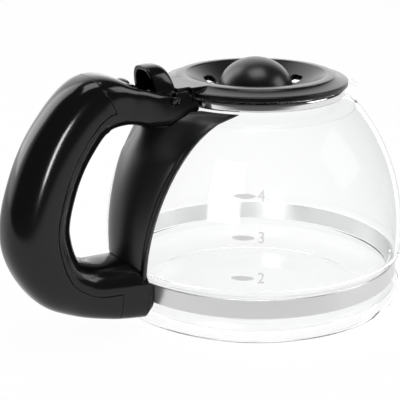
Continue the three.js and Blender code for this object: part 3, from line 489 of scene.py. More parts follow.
@dataclass(frozen=True)
class Steel(Finish):
    """Stainless or plated steel, brushed round the axis."""

    roughness: float
    spread: float
    line_height: float
    anisotropy: float = 0.0
    line_strength: float = 0.2
    shades: Pair = (0.94, 1.04)

    def _inputs(self, build: Shader) -> Inputs:
        """Returns brushed lines in the tint, gloss and normal."""
        lines = build.group(Effects.brushed(), Roughness=self.roughness, Spread=self.spread)
        return {
            "Metallic": 1.0,
            "Anisotropic": self.anisotropy,
            "Anisotropic Rotation": 0.25,
            "Tangent": build.node("ShaderNodeTangent", axis="Z").outputs[0],
            "Base Color": build.tint(lines["Tint"], *(self._shade(share) for share in self.shades)),
            "Roughness": lines["Roughness"],
            "Normal": build.bump(self.line_strength, self.line_height, Height=lines["Height"]),
        }


@dataclass(frozen=True)
class ClearGlass(Finish):
    """Blown clear glass with a faint uneven skin, and painted grey shade where its wall is seen edge on."""

    name: str = "clear_glass_painted_edge_shade"
    colour: Triple = (0.997, 0.999, 0.999)
    # Painted shade: edge is the grey that the glass colour is mixed towards where its wall is seen edge on;
    # facing_blend, rim and the power below shape that mask.
    edge: Triple = (0.76, 0.77, 0.77)
    sheen: Triple = (0.6, 0.61, 0.61)
    ior: float = 1.05
    coat: float = 0.12
    coat_roughness: float = 0.01
    facing_blend: float = 0.2
    rim: float = 4.0
    painted_edge_shade_power: float = 4.0
    roughness: float = 0.008
    ripple_scale: float = 24.0
    ripple_strength: float = 0.01
    ripple_height: float = 0.0004

    def _inputs(self, build: Shader) -> Inputs:
        """Returns clear glass with a painted grey edge shade and faint ripples."""
        facing = build.node("ShaderNodeLayerWeight", {"Blend": self.facing_blend}).outputs["Facing"]
        # Painted shade: a facing mask greys the glass colour at its edges, in place of the dark refraction
        # and reflection seen there.
        rim = build.math("MULTIPLY_ADD", build.math("POWER", facing, self.painted_edge_shade_power), self.rim, facing)
        grain = build.group(Effects.moulded_grain(), Roughness=self.roughness, Variation=self.roughness,
                            Scale=self.ripple_scale)
        return {
            "IOR": self.ior,
            "Transmission Weight": 1.0,
            "Coat Weight": self.coat,
            "Coat Roughness": self.coat_roughness,
            "Specular Tint": (*self.sheen, 1.0),
            "Base Color": build.tint(rim, self.colour, self.edge, clamp=False),
            "Roughness": grain["Roughness"],
            "Normal": build.bump(self.ripple_strength, self.ripple_height, Height=grain["Height"]),
        }


@dataclass(frozen=True)
class LevelInk(Finish):
    """Pale grey enamel print."""

    name: str = "level_ink"
    colour: Triple = (0.93, 0.93, 0.93)
    roughness: float = 0.6
    speckle_scale: float = 1800.0
    speckle: float = 1.3

    def _inputs(self, build: Shader) -> Inputs:
        """Returns a speckled tint and a dull gloss."""
        grain = build.group(Effects.moulded_grain(), Roughness=self.roughness, Scale=self.speckle_scale)
        return {"Base Color": build.tint(grain["Height"], self.colour, self._shade(self.speckle)),
                "Roughness": grain["Roughness"]}


HANDLE_BLACK = Plastic("handle_black", (0.003, 0.003, 0.0033), 0.13, 0.04, 4e-6, 0.38)
GUARD_BLACK = Plastic("guard_black", (0.0032, 0.0032, 0.0035), 0.38, 0.05, 1e-5, 0.6)
LID_BLACK = Plastic("lid_black", (0.003, 0.003, 0.0033), 0.25, 0.05, 6e-6, 0.4)
DOME_BLACK = Plastic("dome_black", (0.003, 0.003, 0.0033), 0.31, 0.04, 4e-6, 0.5)
BAND_STEEL = Steel("band_steel", (0.82, 0.82, 0.82), 0.3, 0.1, 1e-5, 0.8)
RING_STEEL = Steel("ring_steel", (0.86, 0.86, 0.86), 0.06, 0.04, 1e-5)
ZINC = Steel("zinc_plate", (0.56, 0.57, 0.58), 0.38, 0.1, 2e-5)
PIN_STEEL = Steel("pin_steel", (0.07, 0.07, 0.072), 0.25, 0.1, 1e-5)


@dataclass
class GlassBowl:
    """Blown bowl with a flat foot, band groove, shoulder, neck and pouring lip."""

    radius: float = 62.0
    wall: float = 2.0
    floor: float = 3.0
    belly_z: float = 28.0
    dome_rise: float = 73.5
    heel: float = 8.0
    heel_z: float = 6.5
    heel_turn: float = 0.62
    foot_ring: float = 0.62
    foot_hollow: float = 0.5
    shoulder_z: float = 82.6
    neck_radius: float = 35.2
    neck_z: float = 85.6
    neck_fillet: float = 1.6
    ring_z: float = 86.0
    ring_edge_z: float = 88.5
    rim_z: float = 89.3
    rim_flare: float = 0.4
    rim_round: float = 0.35
    rim_turns: tuple[float, ...] = (0.35, 0.75, 1.2, 1.57, 1.94, 2.39, 2.79)
    rim_steps: int = 14
    groove_depth: float = 3.0
    band_z: float = 11.7
    band_height: float = 7.8
    band_thickness: float = 0.8
    spout_reach: float = 16.5
    spout_lift: float = 0.8
    spout_drop: float = 6.0
    spout_drop_span: Pair = (0.4, 1.05)
    spout_half_angle: float = 0.4
    spout_flat: float = 0.25
    gap: float = 0.3
    segments: int = 256

    @property
    def groove(self) -> float:
        """Radius of the groove that the base band lies in."""
        return self.radius - self.groove_depth

    @property
    def band_outer(self) -> float:
        """Outer radius of the base band."""
        return self.groove + self.gap + self.band_thickness

    @property
    def band_top(self) -> float:
        """Height of the base band's upper edge."""
        return self.band_z + self.band_height

    @property
    def neck_foot_z(self) -> float:
        """Height where the shoulder turns up into the neck."""
        return self.neck_z - self.neck_fillet / 2

    @property
    def flat(self) -> float:
        """Radius of the foot inside the heel."""
        return self.radius - self.heel

    def dome(self, z: float, inset: float = 0.0) -> float:
        """Returns the bowl's radius at a height, measured inside by the inset."""
        share = (z - self.belly_z) / (self.dome_rise - inset)
        return (self.radius - inset) * math.sqrt(1.0 - share * share)

    def outside(self, z: float) -> float:
        """Returns the outer radius at a height, with the band in its groove."""
        if z < self.band_top + self.gap:
            return self.band_outer
        if z < self.shoulder_z:
            return self.dome(z)
        climb = (z - self.shoulder_z) / (self.neck_foot_z - self.shoulder_z)
        neck = self.neck_radius + self.neck_fillet
        if climb < 1.0:
            return lerp(self.dome(self.shoulder_z), neck, climb)
        return lerp(neck, self.neck_radius, min(1.0, (z - self.neck_foot_z) / self.neck_fillet))

    def heel_arc(self, steps: int, grow: float = 0.0) -> Profile:
        """Returns points of the heel from the foot up to the groove, further out by grow."""
        turns = [lerp(-QUARTER, self.heel_turn, i / steps) for i in range(steps + 1)]
        return [(self.flat + self.heel * math.cos(turn) + grow, self.heel_z + self.heel_z * math.sin(turn))
                for turn in turns]

    def dome_arc(self, inset: float, low: float, steps: int) -> Profile:
        """Returns points of the dome up to the shoulder, closer together near the top."""
        heights = [lerp(low, self.shoulder_z, math.sin(i / steps * QUARTER)) for i in range(steps + 1)]
        return [(self.dome(z, inset), z) for z in heights]

    def _skin(self) -> Profile:
        """Returns the outside of the bowl from the foot's edge up to the neck."""
        heel = self.heel_arc(24)
        groove, low, high, neck = self.groove, self.band_z, self.band_top, self.neck_radius
        band = catmull(np.array([
            heel[-1], (groove + 0.3, low - 0.3), (groove, low + 0.6), (groove, high - 0.4),
            (groove + 0.5, high + 0.5), (self.dome(high + 2.4), high + 2.4),
        ]), np.linspace(0.08, 1.0, 26))
        dome = self.dome_arc(0.0, high + 3.0, 60)
        top = catmull(np.array([
            dome[-1], (lerp(dome[-1][0], neck, 0.5), self.neck_foot_z - 0.75),
            (neck + 0.6, self.neck_z - 0.2), (neck, self.neck_z + 1.0),
        ]), np.linspace(0.06, 1.0, 18))
        return heel + [tuple(p) for p in band] + dome + [tuple(p) for p in top]

    def _lining(self, skin: Profile) -> Profile:
        """Returns the inside of the bowl, one wall in from the skin, from the neck down to the floor."""
        outside = np.array(skin)
        along = np.gradient(outside, axis=0)
        along /= np.linalg.norm(along, axis=1)[:, None]
        inside = outside + self.wall * np.stack([-along[:, 1], along[:, 0]], 1)
        side = [tuple(p) for p in inside[::-1] if p[1] > self.heel_z + 1.0]
        flat, floor = self.flat, self.floor
        turn = catmull(np.array([
            side[-1], (self.radius - 1.9 * self.wall, self.heel_z - 0.8), (flat + 1.4, floor + 0.7),
            (flat - 4.0, floor), (flat * 0.5, floor), (0.0, floor),
        ]), np.linspace(0.03, 1.0, 40))
        return side + [(max(0.0, p[0]), p[1]) for p in turn]

    def _rows(self) -> list[tuple[float, float, float, float]]:
        """Returns the closed outline as radius, height, spout pull and spout lift."""
        flat, hollow = self.flat, self.foot_hollow
        ring = flat * self.foot_ring
        foot = [(0.0, 0.0), (ring, 0.0), (ring + 1.0, 0.12), (ring + 2.0, hollow), (flat - 7.0, hollow),
                (flat - 6.0, 0.12), (flat - 5.0, 0.0)]
        skin = self._skin()
        edge = self.rim_z - self.rim_round
        lift = self.spout_lift * self.wall
        shares = [i / self.rim_steps for i in range(self.rim_steps + 1)]
        neck = [(self.rim_flare * share, lerp(self.ring_edge_z, edge, share), share) for share in shares]
        half = self.wall / 2
        middle = self.neck_radius + self.rim_flare - half
        rows = [(r, z, 0.0, 0.0) for r, z in foot + skin]
        rows += [(self.neck_radius + flare, z, share, 0.0) for flare, z, share in neck]
        rows += [(middle + half * math.cos(turn), edge + self.rim_round * math.sin(turn), 1.0,
                  lift * (1.0 - math.cos(turn)) / 2) for turn in self.rim_turns]
        rows += [(self.neck_radius - self.wall + flare, z, share, lift) for flare, z, share in reversed(neck)]
        return rows + [(r, z, 0.0, 0.0) for r, z in self._lining(skin)]

    def build(self) -> None:
        """Turns the bowl, pulls out its lip and sets it on the jug."""
        rows = self._rows()
        piece = lathe("glass_bowl", [row[:2] for row in rows], self.segments, False)
        pulls: list[Pair] = []
        for radius, _, pull, lift in rows:
            pulls += [(pull, lift)] * (1 if radius < TINY else self.segments)
        ramp = self.spout_half_angle * (1.0 - self.spout_flat)
        for vertex, (pull, lift) in zip(piece.data.vertices, pulls):
            if pull == 0.0:
                continue
            x, y, z = vertex.co / MM
            turn = math.atan2(y, x)
            spout = smoothstep((self.spout_half_angle - abs(turn)) / ramp, 0.0, 1.0) * pull
            reach = math.hypot(x, y) + self.spout_reach * spout
            rise = z + lift * spout - self.spout_drop * smoothstep(spout, *self.spout_drop_span)
            vertex.co = Vector((reach * math.cos(turn), reach * math.sin(turn), rise)) * MM
        smooth(piece, 60.0)
        piece.visible_shadow = False
        place(piece, Body.JUG, "clear_glass", ClearGlass(), "glass_body")


@dataclass
class LevelMarks:
    """Printed cup levels: a plain lens and a number at each."""

    bowl: GlassBowl
    levels: tuple[tuple[str, float], ...] = (("2", 29.1), ("3", 44.5), ("4", 59.3))
    facing: float = -127.0
    number_turn: float = 2.9
    lens_turn: float = -3.5
    number_height: float = 4.2
    digit_share: float = 0.7
    lens_length: float = 8.6
    lens_height: float = 1.9
    lens_taper: float = 0.3
    lens_points: int = 40
    film: Pair = (0.01, 0.05)

    def _wrap(self, name: str, flat: Profile, faces: list[tuple[int, ...]], turn: float, z: float) -> None:
        """Lays a flat mesh of across and up points on the bowl as a thin film.

        Args:
            name: The piece's name.
            flat: Points across and up, in millimetres.
            faces: Corner numbers of each face.
            turn: Where round the bowl the film's middle lies, in degrees from the front.
            z: Height of the film's middle.
        """
        both: list[Triple] = []
        middle = math.radians(self.facing + turn)
        for lift in self.film:
            for across, up in flat:
                radius = self.bowl.dome(z + up) + lift
                angle = middle + across / radius
                both.append((radius * math.cos(angle), radius * math.sin(angle), z + up))
        count = len(flat)
        edges = dict.fromkeys(edge for face in faces for edge in zip(face, face[1:] + face[:1]))
        shell = [face[::-1] for face in faces]
        shell += [tuple(i + count for i in face) for face in faces]
        shell += [(a, b, b + count, a + count) for a, b in edges if (b, a) not in edges]
        piece = face_out(make_object(name, np.array(both), shell))
        piece.visible_shadow = False
        place(piece, Body.JUG, "clear_glass", LevelInk())

    def _lens(self) -> tuple[Profile, list[tuple[int, ...]]]:
        """Returns the points and faces of a flat pointed lens."""
        turn = full_turn(self.lens_points)
        across = self.lens_length / 2 * np.cos(turn)
        up = self.lens_height / 2 * np.sin(turn) * np.abs(np.sin(turn)) ** self.lens_taper
        fan = [(0, i + 1, (i + 1) % self.lens_points + 1) for i in range(self.lens_points)]
        return [(0.0, 0.0), *zip(across.tolist(), up.tolist())], fan

    def _number(self, text: str) -> tuple[Profile, list[tuple[int, ...]]]:
        """Returns the points and faces of a flat number."""
        curve = bpy.data.curves.new(f"number_{text}", "FONT")
        curve.body = text
        curve.size = self.number_height / self.digit_share
        curve.align_x = curve.align_y = "CENTER"
        holder = bpy.data.objects.new(f"number_{text}", curve)
        bpy.context.scene.collection.objects.link(holder)
        graph = bpy.context.evaluated_depsgraph_get()
        mesh = bpy.data.meshes.new_from_object(holder.evaluated_get(graph))
        flat = [(v.co.x, v.co.y) for v in mesh.vertices], [tuple(p.vertices) for p in mesh.polygons]
        bpy.data.objects.remove(holder)
        bpy.data.meshes.remove(mesh)
        return flat

    def build(self) -> None:
        """Prints a lens and a number at each level."""
        for text, z in self.levels:
            self._wrap(f"level_lens_{text}", *self._lens(), self.lens_turn, z)
            self._wrap(f"level_number_{text}", *self._number(text), self.number_turn, z)


@dataclass
class SteelBands:
    """Base strap and neck ring, open at the back with two lugs each."""

    bowl: GlassBowl
    band_break: float = 0.2
    ring_height: float = 2.2
    ring_rise: float = 1.0
    ring_rise_span: Pair = (0.5, 0.75)
    ring_lean: float = 0.15
    ring_round: float = 0.3
    ring_thickness: float = 1.0
    ring_relief: float = 0.4
    lug_gap: float = 1.4
    lug_length: float = 9.0
    ring_lug_length: float = 4.2
    segments: int = 200

    def _strap(self, name: str, section: Callable[[float], Profile], thickness: float, lug: float) -> Piece:
        """Sweeps a section round the axis and turns both ends out into lugs.

        Args:
            name: The object's name.
            section: Gives the closed section, as radius and height pairs, at a turn from the spout.
            thickness: The strap's thickness, for its lugs.
            lug: How far the lugs reach out.

        Returns:
            The strap.
        """
        ends = section(math.pi)
        inner = min(r for r, _ in ends)
        heights = [z for _, z in ends]
        near, far = self.lug_gap / 2, self.lug_gap / 2 + thickness
        slack = near / inner
        rings = []
        for i in range(self.segments + 1):
            turn = lerp(math.pi + slack, 3 * math.pi - slack, i / self.segments)
            outline = section(abs(turn - 2.0 * math.pi))
            rings.append(np.array([(r * math.cos(turn), r * math.sin(turn), z) for r, z in outline]))
        strap = loft(name, rings)
        for y0, y1 in ((near, far), (-far, -near)):
            ear = block("ear", (-inner - thickness - lug, y0, min(heights)), (-inner, y1, max(heights)))
            carve(strap, ear, Cut.JOIN)
        smooth(strap, 40.0)
        return strap

    def _band_section(self, _: float) -> Profile:
        """Returns the base strap's section, the same all round."""
        inner, outer = self.bowl.groove + self.bowl.gap, self.bowl.band_outer
        low, high, edge = self.bowl.band_z, self.bowl.band_top, self.band_break
        return [(inner, low), (outer - edge, low), (outer, low + edge), (outer, high - edge),
                (outer - edge, high), (inner, high)]

    def _ring_section(self, away: float) -> Profile:
        """Returns the neck ring's section, lower where the spout passes over it."""
        inner = self.bowl.neck_radius + self.bowl.gap
        outer = inner + self.ring_thickness
        low, relief = self.bowl.ring_z, self.ring_relief
        edge = low + self.ring_height
        high = edge + self.ring_rise * smoothstep(away, *self.ring_rise_span)
        face = [(outer - self.ring_round * (2 * t - 1) ** 6 - self.ring_lean * (1 - t), lerp(low, high, t))
                for t in np.linspace(0.03, 0.97, 13)]
        return [(inner, low), (outer - self.ring_lean - self.ring_round, low), *face, (outer - 0.5, high),
                (inner + relief, high), (inner + relief, edge - 0.1), (inner, edge - relief)]

    def build(self) -> None:
        """Makes both bands and sets them on the jug."""
        strap = self._strap("base_strap", self._band_section, self.bowl.band_thickness, self.lug_length)
        place(strap, Body.JUG, "satin_steel", BAND_STEEL, "base_band")
        ring = self._strap("neck_ring", self._ring_section, self.ring_thickness, self.ring_lug_length)
        place(ring, Body.JUG, "polished_steel", RING_STEEL, "neck_band")


@dataclass
class Handle:
    """Loop handle: frame with hinge cheeks, outer grip cover."""

    bowl: GlassBowl
    reach: float = 114.4
    grip_depth: float = 25.6
    grip_width: float = 23.0
    grip_z: float = 43.5
    arm_z: float = 86.4
    arm_height: float = 14.2
    arm_width: float = 19.6
    nose_width: float = 24.0
    nose_clear: float = 1.6
    shoulder_rise: float = 4.4
    shoulder_back: float = 25.2
    foot_z: float = 17.0
    foot_height: float = 25.0
    foot_width: float = 28.4
    foot_slim: float = 0.93
    root_depth: float = 4.0
    bend_slim: float = 2.8
    cover_wall: float = 2.6
    cover_lip: float = 8.5
    cover_foot_lip: float = 11.5
    cover_lip_span: Pair = (0.55, 0.95)
    cover_top_back: float = 28.0
    cover_lean: float = 4.5
    cover_overlap: float = 0.02
    cover_foot_back: float = 30.0
    cover_steps: int = 60
    seam: float = 0.3
    hinge_back: float = 45.6
    hinge_z: float = 90.2
    pin_radius: float = 1.5
    pin_length: float = 21.2
    notch_mouth: float = 1.2
    knuckle: float = 3.2
    slot_width: float = 16.6
    lever_back: float = 54.6
    lever_top: float = 103.4
    lever_skirt: float = 3.4
    lever_slant: float = 2.2
    lid_swing: float = 1.4
    swing_gap: float = 0.5
    lid_lip_radius: float = 37.5
    lid_swing_gap: float = 2.5
    stop_radius: float = 2.6
    stop_stretch: Pair = (1.3, 1.6)
    collar_width: float = 18.4
    collar_drop: float = 1.4
    collar_length: float = 13.0
    collar_round: float = 3.0
    collar_flare: float = 0.55
    collar_crest_span: Pair = (0.35, 0.8)
    collar_least: float = 0.15
    collar_steps: int = 28
    arm_squareness: float = 5.0
    grip_squareness: float = 2.4
    grip_share: float = 0.55
    square_span: Pair = (0.2, 0.42)
    sharp_angle: float = 32.0
    points: int = 72
    steps: int = 150
    path: np.ndarray = field(init=False)
    girth: np.ndarray = field(init=False)

    def __post_init__(self) -> None:
        """Works out the stations along the loop from the neck round the grip to the foot."""
        arm = (self.arm_height, self.arm_width)
        grip = (self.grip_depth, self.grip_width)
        foot = (self.foot_height, self.foot_width)
        mix = lambda a, b, s: (lerp(a[0], b[0], s), lerp(a[1], b[1], s))
        rise, back, grip_back = self.shoulder_rise, self.shoulder_back, self.grip_back
        top = self.arm_z + rise
        drop, climb = top - self.grip_z, self.grip_z - self.foot_z
        shoulder = grip_back - back
        band = self.bowl.band_outer
        slim = self.foot_height * self.foot_slim
        bend = mix(grip, foot, 0.2)
        rows = [
            (self.bowl.neck_radius - self.root_depth, self.arm_z, self.arm_height, self.nose_width),
            (lerp(self.hinge_back, shoulder, 0.2), self.arm_z + 0.18 * rise, *arm),
            (lerp(self.hinge_back, shoulder, 0.56), self.arm_z + 0.84 * rise, *mix(arm, grip, 0.1)),
            (shoulder, top, *mix(arm, grip, 0.8)),
            (grip_back - 0.52 * back, self.grip_z + 0.76 * drop, *mix(arm, grip, 0.88)),
            (grip_back - 0.17 * back, self.grip_z + 0.42 * drop, *mix(arm, grip, 0.94)),
            (grip_back, self.grip_z, *grip),
            (grip_back - 0.25 * climb, self.foot_z + 0.352 * climb, bend[0] - self.bend_slim, bend[1]),
            (lerp(band, grip_back, 0.6), self.foot_z + 0.12 * climb, slim - self.bend_slim / 2,
             self.grip_width * 1.04),
            (lerp(band, grip_back, 0.3), self.foot_z + 0.03 * climb, slim, mix(grip, foot, 0.5)[1]),
            (band - self.root_depth, self.foot_z - 0.5, *foot),
        ]
        self.path = np.array([(-away, 0.0, z) for away, z, _, _ in rows])
        self.girth = np.array([(depth / 2, width / 2, 0.0) for _, _, depth, width in rows])

    @property
    def grip_back(self) -> float:
        """Distance of the grip's middle from the glass axis."""
        return self.reach - self.grip_depth / 2

    @property
    def lid_room(self) -> float:
        """Radius that the lid's lip needs to swing clear."""
        return self.lid_lip_radius + self.lid_swing_gap

    @property
    def sweep(self) -> float:
        """Radius that the lever needs round the pin."""
        return math.hypot(self.lever_back - self.hinge_back, self.lever_top - self.hinge_z) + self.swing_gap

    def hinge_rod(self, name: str, radius: float, half: float) -> Piece:
        """Makes a rod round the hinge's axis, as long to each side as half."""
        turn = full_turn(48)
        outline = [radius * np.cos(turn) - self.hinge_back, radius * np.sin(turn) + self.hinge_z]
        return prism(name, np.stack(outline, 1), -half, half)

    def centre(self, u: float) -> np.ndarray:
        """Returns the middle of the loop at a share of its length."""
        return catmull(self.path, np.array([u]))[0]

    def half_girth(self, u: float) -> np.ndarray:
        """Returns half the depth and half the width of the loop."""
        return catmull(self.girth, np.array([u]))[0]

    def tangent(self, u: float) -> np.ndarray:
        """Returns the direction along the loop."""
        along = self.centre(min(1.0, u + MET)) - self.centre(max(0.0, u - MET))
        return along / np.linalg.norm(along)

    def outward(self, u: float) -> np.ndarray:
        """Returns the direction out of the loop, in the handle plane."""
        along = self.tangent(u)
        return np.array([along[2], 0.0, -along[0]])

    def ring(self, u: float, inset: float) -> Ring:
        """Returns a section of the loop, smaller by the inset."""
        half = self.half_girth(u)
        square = smoothstep(abs(u - self.grip_share), *self.square_span)
        outer = lerp(self.grip_squareness, self.arm_squareness, square)
        inner = self.grip_squareness if u > self.grip_share else outer
        turn = full_turn(self.points)
        power = np.where(np.cos(turn) > 0, outer, inner)
        reach = (half[0] - inset) * signed_power(np.cos(turn), power)
        loop = self.centre(u)[None, :] + reach[:, None] * self.outward(u)[None, :]
        loop[:, 1] = (half[1] - inset) * signed_power(np.sin(turn), power)
        return loop

    def loop(self, name: str, inset: float, start: float = 0.0, end: float = 1.0) -> Piece:
        """Skins the loop between two shares of its length."""
        return loft(name, [self.ring(lerp(start, end, i / self.steps), inset) for i in range(self.steps + 1)])

    def _share_at(self, back: float, upper: bool) -> float:
        """Returns where the upper or lower limb passes a distance from the axis."""
        shares = np.linspace(0.0, 1.0, 801)
        places = catmull(self.path, shares)
        limb = (places[:, 2] > self.grip_z) == upper
        away = np.where(limb, np.abs(-places[:, 0] - back), np.inf)
        return float(shares[int(np.argmin(away))])

    def _cover_ends(self) -> Pair:
        """Returns where along the loop the grip cover starts and ends."""
        return (self._share_at(self.grip_back - self.cover_top_back, True),
                self._share_at(self.grip_back - self.cover_foot_back, False))

    def _cover_region(self, inset: float) -> Piece:
        """Makes the prism that holds the grip cover, smaller by the inset."""
        start, end = self._cover_ends()
        near, far = [], []
        for i in range(self.cover_steps + 1):
            share = i / self.cover_steps
            u = lerp(start, end, share)
            out, along = self.outward(u), self.tangent(u)
            depth = self.half_girth(u)[0]
            lip = lerp(self.cover_lip, self.cover_foot_lip, smoothstep(share, *self.cover_lip_span))
            middle = self.centre(u) + along * (inset if i == 0 else (-inset if share == 1.0 else 0.0))
            lean = along * (self.cover_lean if i == 0 else 0.0)
            near.append((middle + out * (lip + inset - depth) - 0.5 * lean)[[0, 2]])
            if i % 5 == 0:
                far.insert(0, (middle + out * depth * 2 + 2 * lean)[[0, 2]])
        return prism("cover_region", np.array(near + far), -self.grip_width, self.grip_width)

    def _bowl_room(self) -> Piece:
        """Makes the room that the bowl, bands and lid take out of the handle."""
        bowl, gap = self.bowl, self.bowl.gap
        fit = bowl.band_outer + gap
        ring = bowl.neck_radius + 2 * gap + self.nose_clear
        outline = [
            (0.0, 0.0), *bowl.heel_arc(16, gap), (fit, bowl.band_z), (fit, bowl.band_top),
            *bowl.dome_arc(-gap, bowl.band_top + 3 * gap, 24), (ring, bowl.ring_z - gap),
            (ring, bowl.rim_z - gap), (self.lid_room, bowl.rim_z), (self.lid_room, self.lever_top),
            (0.0, self.lever_top),
        ]
        return lathe("bowl_room", outline, 160, False)

    def _dip(self, back: float, rise: float) -> float:
        """Returns how far below the pin a point of the lever comes with the lid open."""
        return -math.hypot(back, rise) * math.sin(math.atan2(rise, -back) + self.lid_swing)

    def collar(self, grow: float, reach: float) -> Piece:
        """Skins the collar under the neck ring.

        Args:
            grow: How much wider and deeper it is, for the room that it takes.
            reach: How much further back it goes.

        Returns:
            The closed collar.
        """
        bowl = self.bowl
        waist = bowl.ring_z - self.collar_drop
        depth = waist - self.arm_z + self.arm_height / 2 - bowl.gap
        arm_half = self.arm_width / 2 - bowl.gap
        root = self.lid_room + self.collar_length
        turn = np.linspace(math.pi, 2.0 * math.pi, 41)
        across, sink = (signed_power(wave(turn), self.collar_round) for wave in (np.cos, np.sin))
        climb = np.linspace(0.0, 1.0, 15)[1:]
        rings = []
        for i in range(self.collar_steps + 1):
            share = i / self.collar_steps
            back = root + reach if i == 0 else lerp(root, bowl.neck_radius, share)
            half = lerp(arm_half, self.collar_width / 2, smoothstep(share, 0.0, self.collar_flare)) + grow
            lift = max(0.0, (self.hinge_back - back) / (self.hinge_back - bowl.neck_radius))
            sag = depth * max(self.collar_least, math.sqrt(max(0.0, 1.0 - lift * lift))) + grow
            flank = lerp(half, arm_half, climb * climb * (3.0 - 2.0 * climb))
            crest = lerp(bowl.rim_z, bowl.ring_z, smoothstep(share, *self.collar_crest_span)) - bowl.gap
            rise = lerp(waist, crest, climb)
            sides = np.concatenate([half * across, flank, -flank[::-1]])
            heights = np.concatenate([waist + sag * sink, rise, rise[::-1]])
            rings.append(np.stack([np.full(len(sides), -back), sides, heights], 1))
        return loft("collar", rings)

    def _hinge_room(self) -> Piece:
        """Makes the slot between the cheeks that the tongue and the lever turn in."""
        tail = self.lever_back - self.hinge_back
        mouth = self._dip(tail - self.lever_slant, self.lever_skirt)
        dip = max(mouth, self._dip(tail, self.lever_top - self.hinge_z)) + self.swing_gap
        ledge = self.hinge_z - 2 * self.seam
        outline = [(-self.hinge_back, self.hinge_z - dip), (-self.hinge_back, ledge),
                   (-self.hinge_back + self.sweep, ledge)]
        for turn in np.linspace(0.0, math.pi + math.asin(dip / self.sweep), 49):
            outline.append((self.sweep * math.cos(turn) - self.hinge_back,
                            self.sweep * math.sin(turn) + self.hinge_z))
        half = self.slot_width / 2
        room = prism("hinge_room", np.array(outline), -half, half)
        return carve(room, self.hinge_rod("knuckle_room", self.knuckle + 2 * self.seam, half), Cut.JOIN)

    def _pin_notch(self) -> Piece:
        """Makes the notches that the pin snaps into."""
        width = self.nose_width
        seat = self.hinge_rod("pin_seat", self.pin_radius + self.seam, width)
        mouth = block("pin_mouth", (-self.hinge_back - self.notch_mouth, -width, self.hinge_z),
                      (-self.hinge_back + self.notch_mouth, width, self.lever_top))
        return carve(seat, mouth, Cut.JOIN)

    def _stop(self) -> Piece:
        """Makes the bump on the arm behind the lever."""
        radius = self.stop_radius
        back = self.hinge_back + self.sweep + radius / 2
        height = self.arm_z + self.arm_height / 2 + 0.75 * self.shoulder_rise
        profile = [(radius * math.sin(t), -radius * math.cos(t)) for t in np.linspace(0.0, math.pi, 13)]
        stop = lathe("stop", profile, 32, False)
        shift = Matrix.Translation((-back * MM, 0.0, height * MM))
        stop.data.transform(shift @ Matrix.Diagonal((*self.stop_stretch, 1.0, 1.0)))
        return stop

    def build(self, guard: "SpineGuard") -> None:
        """Makes the frame and the grip cover.

        Args:
            guard: The spine guard, whose foot stands in the frame.
        """
        start, end = self._cover_ends()
        over = self.cover_overlap
        frame = self.loop("handle_frame_skin", 0.0)
        carve(frame, self._cover_region(-self.seam), Cut.TAKE)
        carve(frame, self.loop("core", self.cover_wall + self.seam, start - over, end + over), Cut.JOIN)
        for tool in (self._stop(), self.collar(0.0, 0.0)):
            carve(frame, tool, Cut.JOIN)
        for tool in (self._bowl_room(), guard.foot_room(), self._hinge_room(), self._pin_notch()):
            carve(frame, tool, Cut.TAKE)
        cover = self.loop("grip_cover_skin", 0.0)
        carve(cover, self._cover_region(0.0), Cut.KEEP)
        carve(cover, self.loop("core", self.cover_wall, start - 3 * over, end + 3 * over), Cut.TAKE)
        for piece, node in ((frame, "handle_frame"), (cover, "grip_cover")):
            smooth(piece, self.sharp_angle)
            place(piece, Body.JUG, "black_plastic", HANDLE_BLACK, node)


